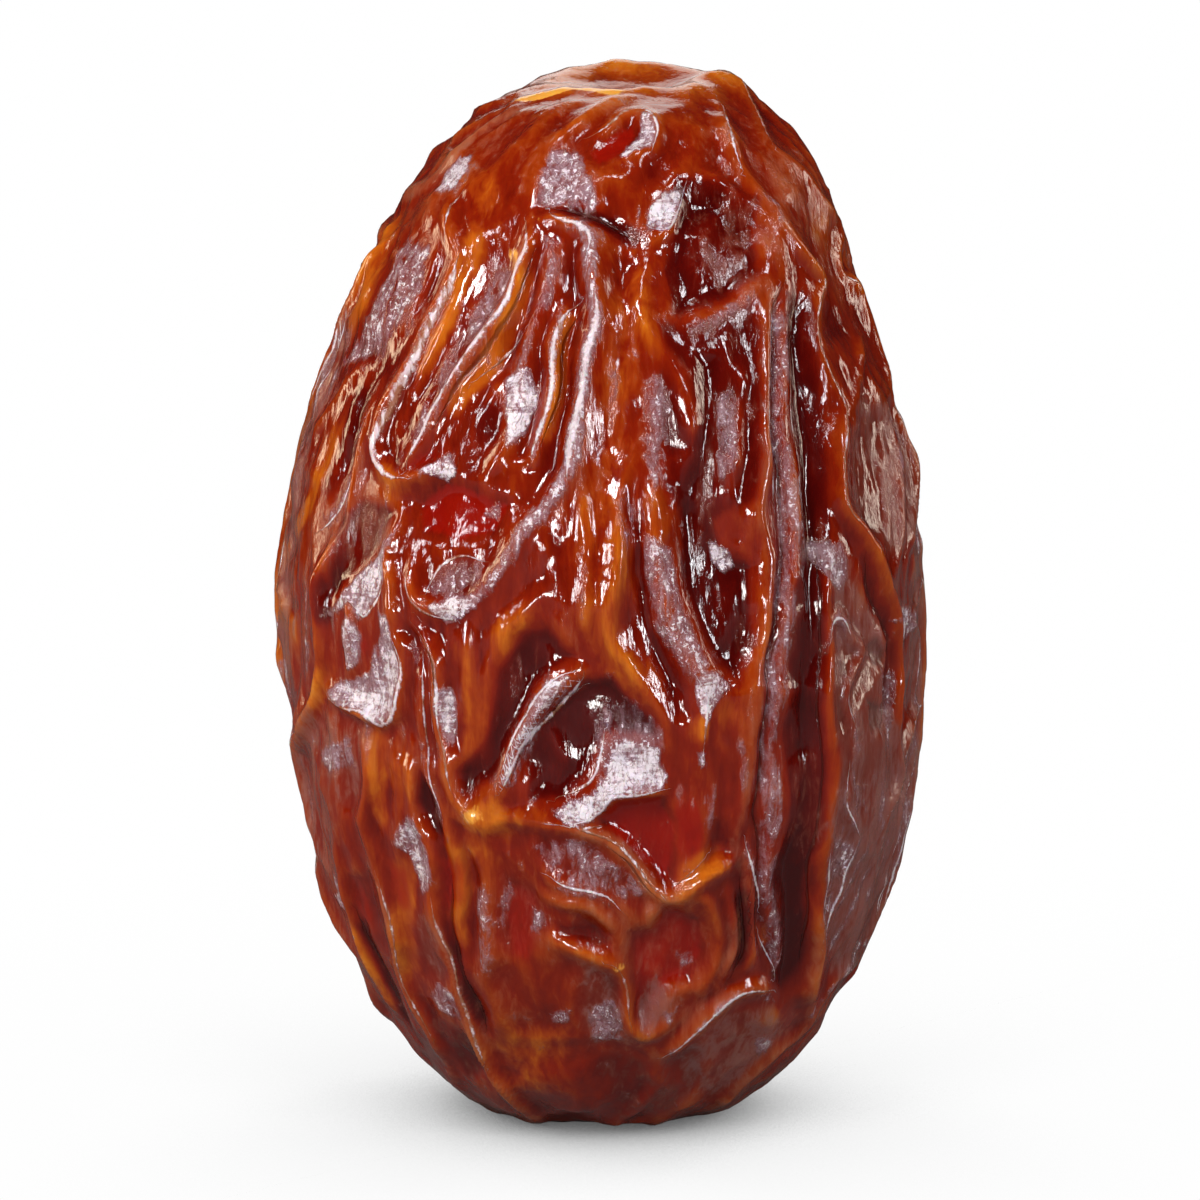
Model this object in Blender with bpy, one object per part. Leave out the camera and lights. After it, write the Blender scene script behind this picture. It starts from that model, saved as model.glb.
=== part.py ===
"""One ripe date standing on its blossom end: a single dried fruit with a folded, glossy skin.

Lengths are millimetres until the mesh is written in metres. +Z is up, the front faces -Y and
the origin is the middle of the small flat spot that the fruit stands on.
"""

import math

import bmesh
import bpy
import numpy as np
from mathutils import Vector, noise

FRUIT_NAME = "date_fruit"
METRE = 0.001

# Plump form, from the blossom end at level 0 to the crown at level 1
HEIGHT = 49.5
GIRTH = 14.95
DEPTH_RATIO = 0.93
FOOT_BLUNTNESS = 0.35
CROWN_BLUNTNESS = 0.352
SHOULDER_TAPER = 0.11
SHOULDER_START = 0.45
SHOULDER_LENGTH = 0.5
FOOT_SUNK = 0.3
CROWN_LEAN = 0.9
CROWN_LEAN_START = 0.72
BELLY_LEAN = -0.2

# Stem scar in the crown: a shallow dimple in a rim that stands higher at the back and right
SCAR_CENTRE = (1.0, 0.2)
SCAR_RIM_RADIUS = 4.3
SCAR_RIM_WIDTH = 1.5
SCAR_RIM_HEIGHTS = (-0.15, 0.7)
SCAR_RIM_CLIMB = (-3.5, 3.0)
SCAR_RIM_RIGHT = 0.35
SCAR_DEPTH = 0.9
SCAR_BUTTON_HEIGHT = 0.4
SCAR_BUTTON_RADIUS = 1.1

# The folds are laid out as seen from the front, a little above and from this far away
VIEW_TILT = math.radians(10)
VIEW_DISTANCE = 300.0
VIEW_AIM = (-0.28, 0.0, 24.5)
VIEW_LEVEL = 24.12

# Raised folds: height, half width on the left and on the right going down, and the crest as
# (x, height) seen from the front
FOLDS = (
    # Crown and shoulders
    (0.45, 0.9, 0.9, ((-4.2, 47.7), (-3, 48.1), (-1.2, 48.4), (0.5, 48.2), (2, 48.4), (3.4, 48.7),
                      (5, 48.4), (6, 48), (7, 47.1), (7.8, 45.4), (9, 44.2), (10.2, 42.7),
                      (11, 41.5), (11.6, 40.3), (12, 39), (12.5, 37.4))),
    (0.35, 0.8, 0.8, ((-4.2, 47.5), (-6, 46.1), (-7, 45), (-8, 44), (-9, 43.3), (-10.2, 42.7))),
    (0.55, 0.9, 0.8, ((1.5, 48.1), (0.5, 47.7), (-0.5, 47.1), (-1.5, 46.3), (-2.4, 45.4),
                      (-2.9, 44.2), (-3.3, 42.7), (-3.4, 42))),
    (0.35, 0.5, 0.6, ((-1, 45.8), (-0.2, 46.2), (0.5, 46.8), (1.2, 47.1), (1.9, 47), (2.4, 46.2),
                      (2.2, 45.3), (1.2, 45.1), (0.2, 44.9))),
    (0.25, 0.5, 0.5, ((-0.6, 44.1), (-0.3, 43.3), (-0.3, 42.5), (-1.3, 42.2))),
    (0.3, 0.6, 0.4, ((3.85, 43.7), (3.6, 42.8), (3.1, 41.6), (2.1, 41.1), (1, 41.5))),
    (0.6, 0.9, 1.0, ((5.1, 47.8), (5.3, 46.8), (6.1, 44.9), (6.6, 44), (7.2, 43.1), (7.8, 42.3),
                     (8.4, 41.2), (9.8, 39.5), (10.1, 38.8), (9.75, 37.5), (9.9, 36), (10.4, 34.4),
                     (11, 33.2))),
    (0.35, 0.5, 0.6, ((4.2, 44.6), (5.5, 43.8), (6.3, 43.2), (7, 42.6), (7.7, 41.6), (8, 40.3),
                      (8.1, 39.2))),
    # Upper left pleats
    (0.65, 0.8, 0.6, ((-7.1, 43), (-7.3, 41.5), (-6.95, 40.3), (-7.4, 39), (-8, 37.7), (-9, 35.6),
                      (-9.8, 34), (-10.4, 32.7), (-10.6, 31.2), (-10.2, 30.3), (-9.3, 29.9),
                      (-7.5, 30.4))),
    (0.3, 0.6, 0.5, ((-8, 42.8), (-7.8, 41.5), (-7.9, 40.2), (-8.4, 38.8), (-9.4, 37.2))),
    (0.35, 1.0, 0.8, ((-10, 42.3), (-10.8, 40), (-11.6, 38), (-12.4, 36.8))),
    (0.35, 0.6, 0.6, ((-6.3, 42), (-6.2, 41), (-6.6, 39.5), (-7.4, 37.2), (-8.3, 35.5), (-9, 34))),
    (0.8, 1.0, 0.55, ((-3.4, 42.2), (-3.5, 41), (-4.2, 39.2), (-5.2, 37.2), (-6.6, 35), (-8, 32.8),
                      (-8.9, 31), (-9.4, 30.1))),
    (0.5, 0.7, 0.6, ((-2.9, 41.6), (-2.4, 39.8), (-3, 38), (-3.6, 36.5), (-4.1, 34.6), (-4.2, 33),
                     (-4.6, 31.5), (-5.6, 30))),
    (0.5, 0.6, 0.5, ((-2.1, 38), (-2.4, 36), (-2.6, 34), (-3, 32), (-3.6, 30.8), (-4.6, 30.6))),
    # The tall fold that hooks round the blister on the left
    (0.9, 0.8, 1.4, ((-3.4, 42), (-2, 41.8), (-0.9, 41.1), (-0.6, 39.8), (-0.5, 38), (-0.6, 36.8),
                     (-1, 34.8), (-1.4, 32), (-1.7, 30.2), (-2.6, 28.9), (-3.7, 27.2),
                     (-4.8, 25.6), (-6, 24.3))),
    (0.45, 0.6, 0.9, ((-5.4, 25), (-6.4, 24.1), (-7.4, 23.8), (-8.6, 24), (-9, 25), (-8.8, 26))),
    (0.4, 0.8, 0.8, ((1.9, 40.6), (1.5, 38), (2.2, 36.2), (3.1, 34.8), (3.7, 33.2), (4, 31))),
    (0.35, 0.7, 0.6, ((6.6, 35.5), (6.1, 33.5), (6.1, 31.5), (5.8, 30), (6.1, 28))),
    (0.2, 0.7, 0.7, ((3.2, 36.5), (4.8, 37.3), (6, 38.1), (7.1, 38.8), (8, 39.2), (8.6, 40.3))),
    # Right: the long seam, the deep gully beside it and its far rim
    (0.45, 1.0, 0.5, ((8, 39), (7.5, 37.5), (7.4, 35), (7.4, 32), (7.3, 30), (7.1, 28.3),
                      (7.4, 26.5), (7.7, 25), (7.6, 23), (7.3, 21), (7, 19), (6.8, 17), (6.6, 15.2),
                      (6.2, 13.6), (6, 12))),
    (0.3, 0.7, 0.8, ((8.6, 38.7), (8.3, 36), (8.3, 33), (8.6, 30), (8.8, 27.5), (8.6, 25),
                      (8.4, 23), (8.2, 21), (7.9, 19), (7.6, 17), (7.7, 15), (7.9, 13), (7.6, 11),
                      (7.7, 9.5), (8.1, 8), (8.2, 6.2))),
    (0.6, 0.7, 0.8, ((11, 33.2), (10.9, 31.8), (10.9, 30.3), (11.2, 28.8), (11.9, 27.5),
                     (12.9, 25.3), (13.3, 24), (13.7, 22.6), (13.8, 20.5), (13.7, 18.5),
                     (13.9, 15.5))),
    (0.35, 0.5, 0.5, ((12.1, 36.7), (11.9, 35.4), (11.5, 33.8), (11, 33.2))),
    (0.6, 0.6, 0.9, ((10.5, 26), (10.1, 24), (10.3, 22), (10.2, 20), (10.3, 18), (10.4, 17),
                     (10.3, 15.5), (10.1, 14), (10, 12.5), (10.05, 11), (9.9, 9.5), (9.9, 8),
                     (9.6, 6.3), (9.3, 4.6))),
    (0.4, 0.8, 0.8, ((12.3, 34.6), (13, 33.3), (13.5, 31.5), (13.7, 29.5), (13.8, 27),
                     (13.5, 25.3))),
    (0.3, 0.7, 0.7, ((14.2, 31), (14.4, 29.3), (14.8, 27.5))),
    (0.35, 0.4, 0.5, ((10.2, 22), (10.5, 23), (11.1, 23.2), (11.6, 22.4), (12.2, 21.6),
                      (11.4, 20.4), (11.2, 19.4), (11.5, 18))),
    (0.35, 0.6, 0.6, ((14.9, 19.8), (14.4, 18.2), (14, 16.5), (13.6, 15.4), (13.1, 14.3),
                      (12.9, 12.4))),
    (0.25, 0.5, 0.5, ((11, 16.2), (11, 15), (11, 14.2), (11.5, 13.2), (11.1, 11.5), (10.9, 10.3),
                      (10.5, 9.3), (10.1, 8.2))),
    (0.4, 0.7, 0.7, ((12.4, 7.2), (11.4, 6.9), (10.6, 6.3), (10, 5.4), (9.5, 4.6), (9, 3.8),
                     (8, 3), (6.6, 1.7), (5, 0.3))),
    # Left side
    (0.35, 0.9, 0.9, ((-13.6, 34.6), (-13.9, 33), (-14, 31), (-14.3, 29.7), (-15, 28))),
    (0.3, 0.7, 0.7, ((-10.9, 35.3), (-11.8, 34.6), (-12.7, 33.4), (-13.4, 32.2), (-13.9, 30.6))),
    (0.55, 0.8, 0.7, ((-10.4, 34), (-11, 32), (-11.5, 30.3), (-12, 28.4), (-12.8, 26.6),
                      (-13.3, 25), (-13.4, 23), (-13.5, 21), (-13.75, 19.3), (-14.2, 18.4),
                      (-14.5, 17))),
    (0.55, 0.8, 0.6, ((-9.7, 27.8), (-10.2, 26.3), (-9.9, 24.8), (-9.9, 23.3), (-9.7, 22.2),
                      (-9.4, 20.7), (-9.9, 19.2), (-10.8, 18.4), (-12.2, 19.1), (-13.1, 19.9))),
    (0.35, 0.6, 0.5, ((-12.3, 24.6), (-12, 23.4), (-12.1, 22), (-12.3, 20.5))),
    # The long loop under the blister and the narrow fold that closes it
    (0.5, 0.6, 0.7, ((-8.9, 23), (-8.4, 22.2), (-8.1, 21.2), (-7.95, 19.7), (-7.8, 18),
                     (-7.4, 16.4), (-7, 15), (-6.6, 14.3), (-6, 13.9), (-5.5, 14.2),
                     (-4.9, 15.3), (-4.3, 16.6), (-3.8, 17.8), (-3.3, 18.8), (-2.7, 19.7),
                     (-1.8, 20.5), (-1.1, 20.8))),
    (0.4, 0.6, 0.5, ((-8.7, 22), (-8.6, 20), (-8.6, 18), (-8.3, 16.2), (-7.9, 14.8), (-7.5, 13.6),
                     (-7.1, 12.6), (-6.9, 11), (-6.85, 9), (-6.5, 7.3))),
    (0.35, 0.6, 0.6, ((-3, 24.5), (-3.8, 23.6), (-4.7, 22.6), (-5.2, 21.5), (-5.5, 19.8),
                      (-5.9, 17))),
    (0.3, 0.7, 0.7, ((-6.5, 23), (-6.5, 21), (-6.4, 19), (-6.3, 17))),
    # Middle: amber ridge, bloomed band and the crumpled lip over the wet pocket
    (0.55, 1.0, 0.9, ((0.8, 30), (0.6, 27), (0.4, 25), (0.2, 23.5), (0.4, 22), (1.2, 20.9),
                      (2.1, 19.7), (2.7, 18.6), (3, 17.2), (3.1, 16.2))),
    (0.35, 0.6, 0.5, ((-1.2, 30), (-0.8, 27), (-0.8, 25), (-0.8, 23.3), (-0.5, 21.8))),
    (0.6, 0.8, 1.1, ((2.4, 30), (2.3, 27), (2.7, 25), (3, 23.3), (3.4, 22), (4, 21), (4.6, 20.2),
                     (4.6, 19), (4.6, 17.8), (4.5, 16.5))),
    (0.3, 0.5, 0.5, ((3.4, 19.5), (3.6, 18), (3.7, 16.6))),
    (0.55, 0.6, 1.0, ((-1.9, 13.6), (-0.6, 14), (0.2, 14.9), (1.4, 15), (2.6, 15.2), (3.1, 16))),
    (0.6, 0.7, 0.6, ((-7, 14), (-5.8, 13.6), (-4.5, 14), (-3.3, 13.8), (-2.3, 13.5), (-1.2, 13.3),
                     (0, 12.8), (1, 12), (1.8, 11.2), (2.5, 10.4), (3.1, 10.1), (4, 10.6),
                     (5, 11.4), (6.1, 12), (6.4, 12.6))),
    (0.35, 0.5, 0.5, ((3.1, 10.1), (2.4, 9.6), (2.1, 9), (2, 8.5))),
    (0.35, 0.7, 0.6, ((4.9, 17.7), (4.8, 16.3), (4.9, 15), (4.6, 13.8), (4.5, 12.6), (4.2, 11.6))),
    (0.35, 0.5, 0.5, ((5.1, 18.2), (5.5, 17), (5.7, 15.6), (5.7, 14.3))),
    (0.45, 0.5, 0.6, ((-2.9, 10.3), (-2, 10.1), (-1.2, 10), (-0.5, 9.6), (0.1, 9.1), (0.6, 8.6),
                      (0.8, 8.1))),
    (0.35, 0.5, 0.5, ((-3.3, 12.7), (-2.8, 11.3), (-2, 10.9), (-1, 10.6), (0.3, 10), (1, 9.3),
                      (1.3, 8.4))),
    (0.5, 0.7, 0.5, ((-2.4, 8.1), (-1.4, 7.7), (-0.2, 7.3), (0.4, 7), (0.8, 6.2), (1.1, 5.1),
                     (1.3, 4.1), (1.9, 3.6), (2.9, 4.1))),
    (0.4, 0.5, 0.5, ((3.6, 10), (4.6, 10.2), (5.2, 9.2), (5.3, 7.8), (5.1, 6.7), (4.6, 5.7))),
    (0.4, 0.5, 0.5, ((6.1, 10.4), (6, 9), (6, 8), (5.7, 7), (5.3, 5.9))),
    (0.45, 0.6, 0.6, ((6.4, 12.6), (6.9, 11.3), (6.85, 9.8), (6.8, 8.4), (6.6, 7), (6.1, 6.4))),
    # Foot: two long arcs and the pleats that run into them
    (0.5, 0.8, 0.7, ((2.7, 2.7), (3.3, 3.1), (4.2, 3.9), (5.2, 4.9), (6, 5.6), (7, 5.85),
                     (8, 5.8))),
    (0.6, 0.8, 0.7, ((-9.1, 17.3), (-9, 15.4), (-8.9, 14), (-8.3, 12.9), (-8, 11.8), (-8.2, 10.4),
                     (-7.6, 8.6), (-7.1, 7), (-6.7, 5.4), (-6.1, 3.9), (-5.4, 2.4), (-4.6, 1.3),
                     (-3.7, 0.3), (-2.8, -0.5))),
    (0.4, 0.8, 0.7, ((-12.5, 13), (-12.3, 11.5), (-12, 10), (-11.5, 8), (-10.8, 6), (-10, 4.3))),
    (0.45, 0.7, 0.7, ((-11.2, 18), (-11.1, 15.5), (-11.3, 14), (-11, 12.4), (-10.6, 11),
                      (-10.2, 9.5), (-9.9, 8), (-9.7, 6.5), (-9, 5), (-8.2, 3.5), (-7.4, 2.2),
                      (-6.9, 1.3))),
    (0.45, 0.9, 0.9, ((-6.3, 13), (-5.8, 11), (-5.65, 9), (-5.5, 7), (-5.2, 5.2), (-5, 3.4))),
    (0.3, 0.6, 0.6, ((-9.8, 18), (-9.7, 16), (-9.6, 14), (-9.9, 12))),
)

# Sunk creases: depth, half width on the left and on the right going down, and the line
CREASES = (
    (0.4, 0.35, 0.35, ((8.2, 39), (7.8, 37.5), (7.75, 35), (7.75, 32.5), (8, 30.3), (8.2, 28.3),
                       (8.2, 26), (8.1, 24.5), (7.9, 22.5), (7.6, 20.8), (7.4, 18.8), (7.2, 16.5),
                       (7.05, 15), (6.9, 14), (7.2, 12.5), (7.15, 10), (7.1, 8.5), (7.3, 7.2))),
    (0.7, 0.9, 1.1, ((8.9, 39), (9.1, 36), (9.3, 33), (9.65, 30), (9.8, 27.5), (9.55, 25),
                     (9.45, 22.5), (9.35, 20), (9.25, 17.5), (9.2, 15), (9.1, 13), (8.7, 11),
                     (8.7, 9), (8.8, 7), (8.4, 5.4))),
    (0.5, 0.5, 0.7, ((-4.4, 40.6), (-5, 38.6), (-6.3, 36.4), (-7.6, 34), (-8.5, 32.2))),
    (0.45, 0.4, 0.5, ((-3.3, 40.2), (-3.8, 38), (-4.8, 35.7), (-6, 33.4), (-7, 31.6))),
    (0.35, 0.4, 0.4, ((-1.5, 40.6), (-1.6, 38.4), (-1.8, 36), (-2, 33.5), (-2.3, 31.4))),
    (0.5, 0.45, 0.45, ((-2.4, 42.5), (-1, 42.1), (0.5, 41.7), (1.8, 41.2))),
    (0.5, 0.5, 0.5, ((-10.6, 35), (-11.4, 33.4), (-12.2, 31), (-12.8, 29))),
    (0.45, 0.45, 0.35, ((-1, 20.1), (-2.4, 19), (-3.1, 18), (-3.9, 16.5), (-4.4, 15.3))),
    (0.5, 0.45, 0.5, ((1.3, 30), (1.4, 26), (1.8, 24.4), (2.1, 22.8), (2.6, 21.4), (3.3, 20.2),
                      (3.6, 19))),
    (0.5, 0.45, 0.45, ((6.5, 11), (6.5, 9), (6.4, 7.3), (5.9, 6.2))),
    (0.5, 0.5, 0.5, ((-7.5, 11), (-7.2, 9), (-6.9, 7.4), (-6.5, 6.2), (-6.1, 5), (-5.7, 3.9))),
    (0.4, 0.4, 0.4, ((-6.5, 12), (-6.35, 10), (-6.2, 8.4), (-6, 7.2))),
    (0.5, 0.6, 0.6, ((-11.7, 9.4), (-11.1, 7.4), (-10.4, 5.9), (-9.8, 4.6), (-9, 3.2))),
    (0.45, 0.5, 0.5, ((12.2, 26), (12.5, 24.8), (13, 23.3), (13.4, 22.3), (13.45, 20.5),
                      (13.3, 18.9), (12.9, 18.1))),
    (0.45, 0.4, 0.5, ((-9.8, 22.8), (-9, 22.4), (-8.7, 21))),
    (0.35, 0.4, 0.4, ((-10.9, 14.5), (-10.8, 13.3), (-10.4, 12))),
)

# Hollows between the folds: depth, width of the sloping edge, and the outline
HOLLOWS = (
    (0.8, 1.2, ((3.6, 43.6), (5.5, 43.2), (6.8, 41.3), (7, 39.6), (5.5, 38.4), (3.6, 37.8),
                (2.8, 39.6), (3.4, 41.6))),
    (0.45, 0.8, ((-0.9, 45.1), (0.2, 46), (1.2, 46.7), (1.9, 46.2), (1.1, 45.3), (-0.2, 44.6))),
    (0.5, 0.9, ((0.5, 41), (1.3, 40), (1.1, 37.5), (0.9, 34.5), (0.3, 31.5), (-0.6, 31),
                (0, 34.5), (0.3, 38))),
    (0.8, 1.0, ((4.3, 35.6), (5.2, 35.5), (5, 32), (5, 29), (5.6, 26.5), (6.8, 25.8), (7, 22),
                (6.3, 20.3), (5.3, 21), (4.5, 22.6), (3.9, 24.4), (3.6, 28), (4.3, 31.5))),
    (0.7, 1.0, ((-8.9, 28.7), (-7.6, 29.6), (-6.2, 29.4), (-4.4, 28.6), (-5.2, 27.3), (-7.2, 27),
                (-8.6, 27.4))),
    (0.6, 1.0, ((-12.6, 28), (-11.4, 28.8), (-10.1, 28.2), (-11.2, 25.8), (-12.3, 24.7),
                (-13, 24.5))),
    (0.6, 1.0, ((12, 34), (12.8, 32.8), (13.1, 30), (13.2, 27), (12.4, 27), (11.9, 28.8),
                (11.7, 31.5))),
    (0.4, 1.0, ((9.4, 42.8), (10.2, 42), (11.3, 40.3), (11.8, 38), (11.6, 36.5), (10.6, 36.5),
                (10.6, 38.7), (9.7, 40.5))),
    (0.9, 1.1, ((-0.8, 20.2), (0.3, 20.4), (1.8, 18.8), (2.2, 17.9), (0, 17.8), (-1, 16),
                (-2.2, 14.8), (-3.6, 15), (-3.6, 16.6), (-2.6, 18.6))),
    (0.8, 1.1, ((-5, 21), (-4, 22.4), (-2.8, 22.8), (-1.6, 21.6), (-3.2, 20.2), (-4.3, 18),
                (-5.2, 15.9), (-6.4, 15), (-6.8, 16), (-5.6, 18))),
    (1.0, 0.9, ((-0.4, 13.9), (0.6, 14.6), (2.6, 14.8), (3, 13.5), (3.2, 11.7), (3, 10.9),
                (1.9, 11.7), (0.3, 13))),
    (0.6, 0.7, ((-8.6, 16), (-8.8, 14.8), (-8.1, 13.3), (-7.6, 12.8), (-7.6, 14), (-8.2, 15.4))),
    (0.25, 0.6, ((-2.3, 9), (-1.5, 9), (-0.4, 8.9), (0.4, 8.3), (0.2, 7.8), (-0.8, 7.8),
                (-2, 8.3))),
    (1.0, 1.0, ((1.3, 8.3), (2, 8.4), (3, 9.6), (4.3, 9), (4.5, 7.5), (4, 6.2), (3, 5.8),
                (2, 4.5), (1.6, 4.6), (1.3, 6.2))),
    (0.45, 0.6, ((7.3, 9.2), (7.8, 8.6), (8, 7.6), (7.8, 7), (7.4, 7.6), (7.3, 8.4))),
    (0.4, 1.0, ((-4.8, 11), (-3.3, 10.3), (-3, 8.5), (-3.6, 7), (-4.7, 7.4), (-4.9, 9.3))),
    (0.4, 1.0, ((-8.8, 5.2), (-7.5, 4.6), (-6.5, 3.6), (-5.4, 2.2), (-6.2, 1.6), (-7.8, 3.2))),
    (0.4, 0.9, ((4.9, 13.6), (5.8, 13.6), (5.8, 11.9), (4.9, 11.4), (4.7, 12.4))),
    (0.5, 0.5, ((12.6, 21.9), (12.9, 22.2), (13.2, 21.6), (13.1, 21), (12.7, 21.1))),
    (0.5, 0.7, ((12.2, 19.4), (13.2, 19.2), (13, 18.2), (12.3, 18))),
    (0.5, 0.8, ((-11.9, 11), (-11, 11), (-10.7, 9), (-11.3, 8.4), (-11.8, 9.4))),
)

# The hidden sides carry the same kind of folds: the front layout again, turned to this angle,
# mirrored across and, on one side, upside down
REAR_SHEETS = ((math.radians(133), -1, False), (math.radians(-133), 1, True))
FRONT_SHEET_REACH = (math.radians(84), math.radians(100))
REAR_SHEET_REACH = (math.radians(50), math.radians(66))
REAR_SHEET_TOP = (40.0, 46.0)
REAR_SHEET_FOOT = (3.0, 7.0)
REAR_WARP = 1.4
REAR_WARP_GRAIN = 0.11

# Pleats that run into the crown and the foot, lower where the layout has folds of its own
PLEATS = 12
PLEAT_HEIGHT = 0.45
PLEAT_CREST = 2.5
FRONT_PLEAT_SHARE = 0.35
CROWN_PLEAT_LEVELS = (36.0, 43.0)
CROWN_PLEAT_RADII = (4.5, 7.0)
FOOT_PLEAT_LEVELS = (2.0, 10.0)
PLEAT_BEND = 1.0
PLEAT_BEND_GRAIN = 0.13

# Soft unevenness under the folds, and how much a fold's height wanders along it
SWELL_HEIGHT = 0.35
SWELL_GRAIN = 0.16

# A fold is a broad soft ridge with a narrow lip along its crest. These shares and widths hold for
# every drawn line and outline
FOLD_SHARE = 0.8
FOLD_SPREAD = 1.35
LIP_SHARE = 0.32
LIP_WIDTH = 0.32
CREASE_SHARE = 0.5
HOLLOW_SHARE = 0.4

# Shallow dents that meet in sharp ridges, as in skin that has dried and crumpled: depth, size
# across and size along the fruit
DENTS = ((0.3, 4.2, 9.0),)
DENT_BEND = 0.45
DENT_BEND_GRAIN = 0.3

# The folds wander off their drawn lines by about this much
LINE_WANDER = 0.3
LINE_WANDER_GRAIN = 0.4
FOLD_WANDER = 0.5
FOLD_WANDER_GRAIN = 0.35
JOIN_SHARPNESS = 3.5
END_FADE = 1.4
END_HEIGHT = 0.45
CURVE_STEPS = 3

# The flat spot stays clean of folds out to the first radius
REST_RADII = (3.2, 6.5)

FORM_SAMPLES = 4001
CUBE_CUTS = 89
KEPT_TRIANGLES = 10800


def smooth(value):
    """0 below 0, 1 above 1 and an S curve between."""
    value = np.clip(value, 0.0, 1.0)
    return value * value * (3.0 - 2.0 * value)


class Form:
    """The plump body without folds, as tables from the blossom end up to the crown."""

    def __init__(self):
        turn = np.linspace(0.0, math.pi, FORM_SAMPLES)
        self.level = (1.0 - np.cos(turn)) / 2.0
        bluntness = np.where(self.level > 0.5, CROWN_BLUNTNESS, FOOT_BLUNTNESS)
        fullness = (4.0 * self.level * (1.0 - self.level)) ** bluntness
        taper = 1.0 - SHOULDER_TAPER * smooth((self.level - SHOULDER_START) / SHOULDER_LENGTH)
        self.radius = GIRTH * fullness * taper
        self.height = HEIGHT * self.level - FOOT_SUNK
        steps = np.hypot(np.diff(self.radius), np.diff(self.height))
        self.rise = np.concatenate([[0.0], np.cumsum(steps)])
        crown = CROWN_LEAN * smooth((self.level - CROWN_LEAN_START) / (1 - CROWN_LEAN_START)) ** 1.5
        belly = BELLY_LEAN * np.exp(-(((self.level - 0.5) / 0.1) ** 2))
        self.lean = crown + belly

    def point(self, angle, rise):
        """The surface point at an angle from the front and a distance up the skin."""
        radius = np.interp(rise, self.rise, self.radius)
        height = np.interp(rise, self.rise, self.height)
        lean = np.interp(rise, self.rise, self.lean)
        across = radius * np.sin(angle) + lean
        deep = -DEPTH_RATIO * radius * np.cos(angle)
        return np.stack([across, deep, height], axis=-1)

    def normal(self, angle, rise):
        """The outward direction, from two short steps along the skin."""
        turn, climb = 1e-3, 0.02
        inner = np.clip(rise, 2 * climb, self.rise[-1] - 2 * climb)
        along = self.point(angle + turn, inner) - self.point(angle - turn, inner)
        up = self.point(angle, inner + climb) - self.point(angle, inner - climb)
        out = np.cross(along, up)
        return out / np.linalg.norm(out, axis=-1, keepdims=True)

    def seen(self, across, height):
        """The angle and rise of a front point that is given as (x, height) in the layout view."""
        across = np.asarray(across, float) - VIEW_AIM[0]
        height = np.asarray(height, float) - VIEW_LEVEL
        zoom = np.ones_like(across)
        level, deep = height + VIEW_AIM[2], np.full_like(across, -GIRTH / 2)
        for _ in range(40):
            up = VIEW_AIM[2] + (height / zoom - deep * math.sin(VIEW_TILT)) / math.cos(VIEW_TILT)
            level = (level + np.clip(up, self.height[0], self.height[-1])) / 2
            radius = np.interp(level, self.height, self.radius)
            lean = np.interp(level, self.height, self.lean)
            side = np.clip((across / zoom + VIEW_AIM[0] - lean) / radius, -1.0, 1.0)
            deep = (deep - DEPTH_RATIO * radius * np.sqrt(1.0 - side * side)) / 2
            towards = -deep * math.cos(VIEW_TILT) + (level - VIEW_AIM[2]) * math.sin(VIEW_TILT)
            zoom = VIEW_DISTANCE / (VIEW_DISTANCE - towards)
        return np.arcsin(side), np.interp(level, self.height, self.rise)


def curve_through(points):
    """More points along a smooth curve through the given (x, height) points."""
    points = np.asarray(points, float)
    ends = np.vstack([2 * points[0] - points[1], points, 2 * points[-1] - points[-2]])
    share = np.linspace(0.0, 1.0, CURVE_STEPS, endpoint=False)[:, None]
    parts = []
    for before, start, stop, after in zip(ends, ends[1:], ends[2:], ends[3:]):
        slope_in, slope_out = (stop - before) / 2, (after - start) / 2
        parts.append(
            start * (1 + 2 * share) * (1 - share) ** 2
            + slope_in * share * (1 - share) ** 2
            + stop * share**2 * (3 - 2 * share)
            + slope_out * share**2 * (share - 1)
        )
    return np.vstack([*parts, points[-1:]])


def line_relief(form, place, line):
    """How high a fold stands at each place: 0 to 1 of its height, highest on its crest."""
    _, left, right, points = line
    left, right = FOLD_SPREAD * left, FOLD_SPREAD * right
    curve = curve_through(points)
    angles, rises = form.seen(curve[:, 0], curve[:, 1])
    angle, rise, radius = place
    reach = max(left, right)
    around = reach / np.maximum(radius, 0.5)
    near = (rise > rises.min() - reach) & (rise < rises.max() + reach)
    near &= (angle > angles.min() - around) & (angle < angles.max() + around)
    found = np.zeros(len(angle))
    if not near.any():
        return found
    angle, rise, radius = angle[near], rise[near], radius[near]
    nearest = np.full(len(angle), np.inf)
    side = np.zeros(len(angle))
    along = np.zeros(len(angle))
    walked = 0.0
    for a0, a1, r0, r1 in zip(angles, angles[1:], rises, rises[1:]):
        start_x, start_y = radius * (a0 - angle), r0 - rise
        step_x, step_y = radius * (a1 - a0), r1 - r0
        length2 = step_x**2 + step_y**2 + 1e-9
        share = np.clip(-(start_x * step_x + start_y * step_y) / length2, 0.0, 1.0)
        gap = np.hypot(start_x + share * step_x, start_y + share * step_y)
        closer = gap < nearest
        nearest[closer] = gap[closer]
        side[closer] = (step_y * start_x - step_x * start_y)[closer]
        along[closer] = (walked + share * np.sqrt(length2))[closer]
        walked = walked + np.sqrt(length2)
    width = np.where(side > 0, right, left)
    shape = (1.0 - LIP_SHARE) * smooth(1.0 - nearest / width)
    shape += LIP_SHARE * np.exp(-((nearest / LIP_WIDTH) ** 2))
    to_end = np.minimum(along, walked - along) / END_FADE
    found[near] = shape * (END_HEIGHT + (1 - END_HEIGHT) * smooth(to_end))
    return found


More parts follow.
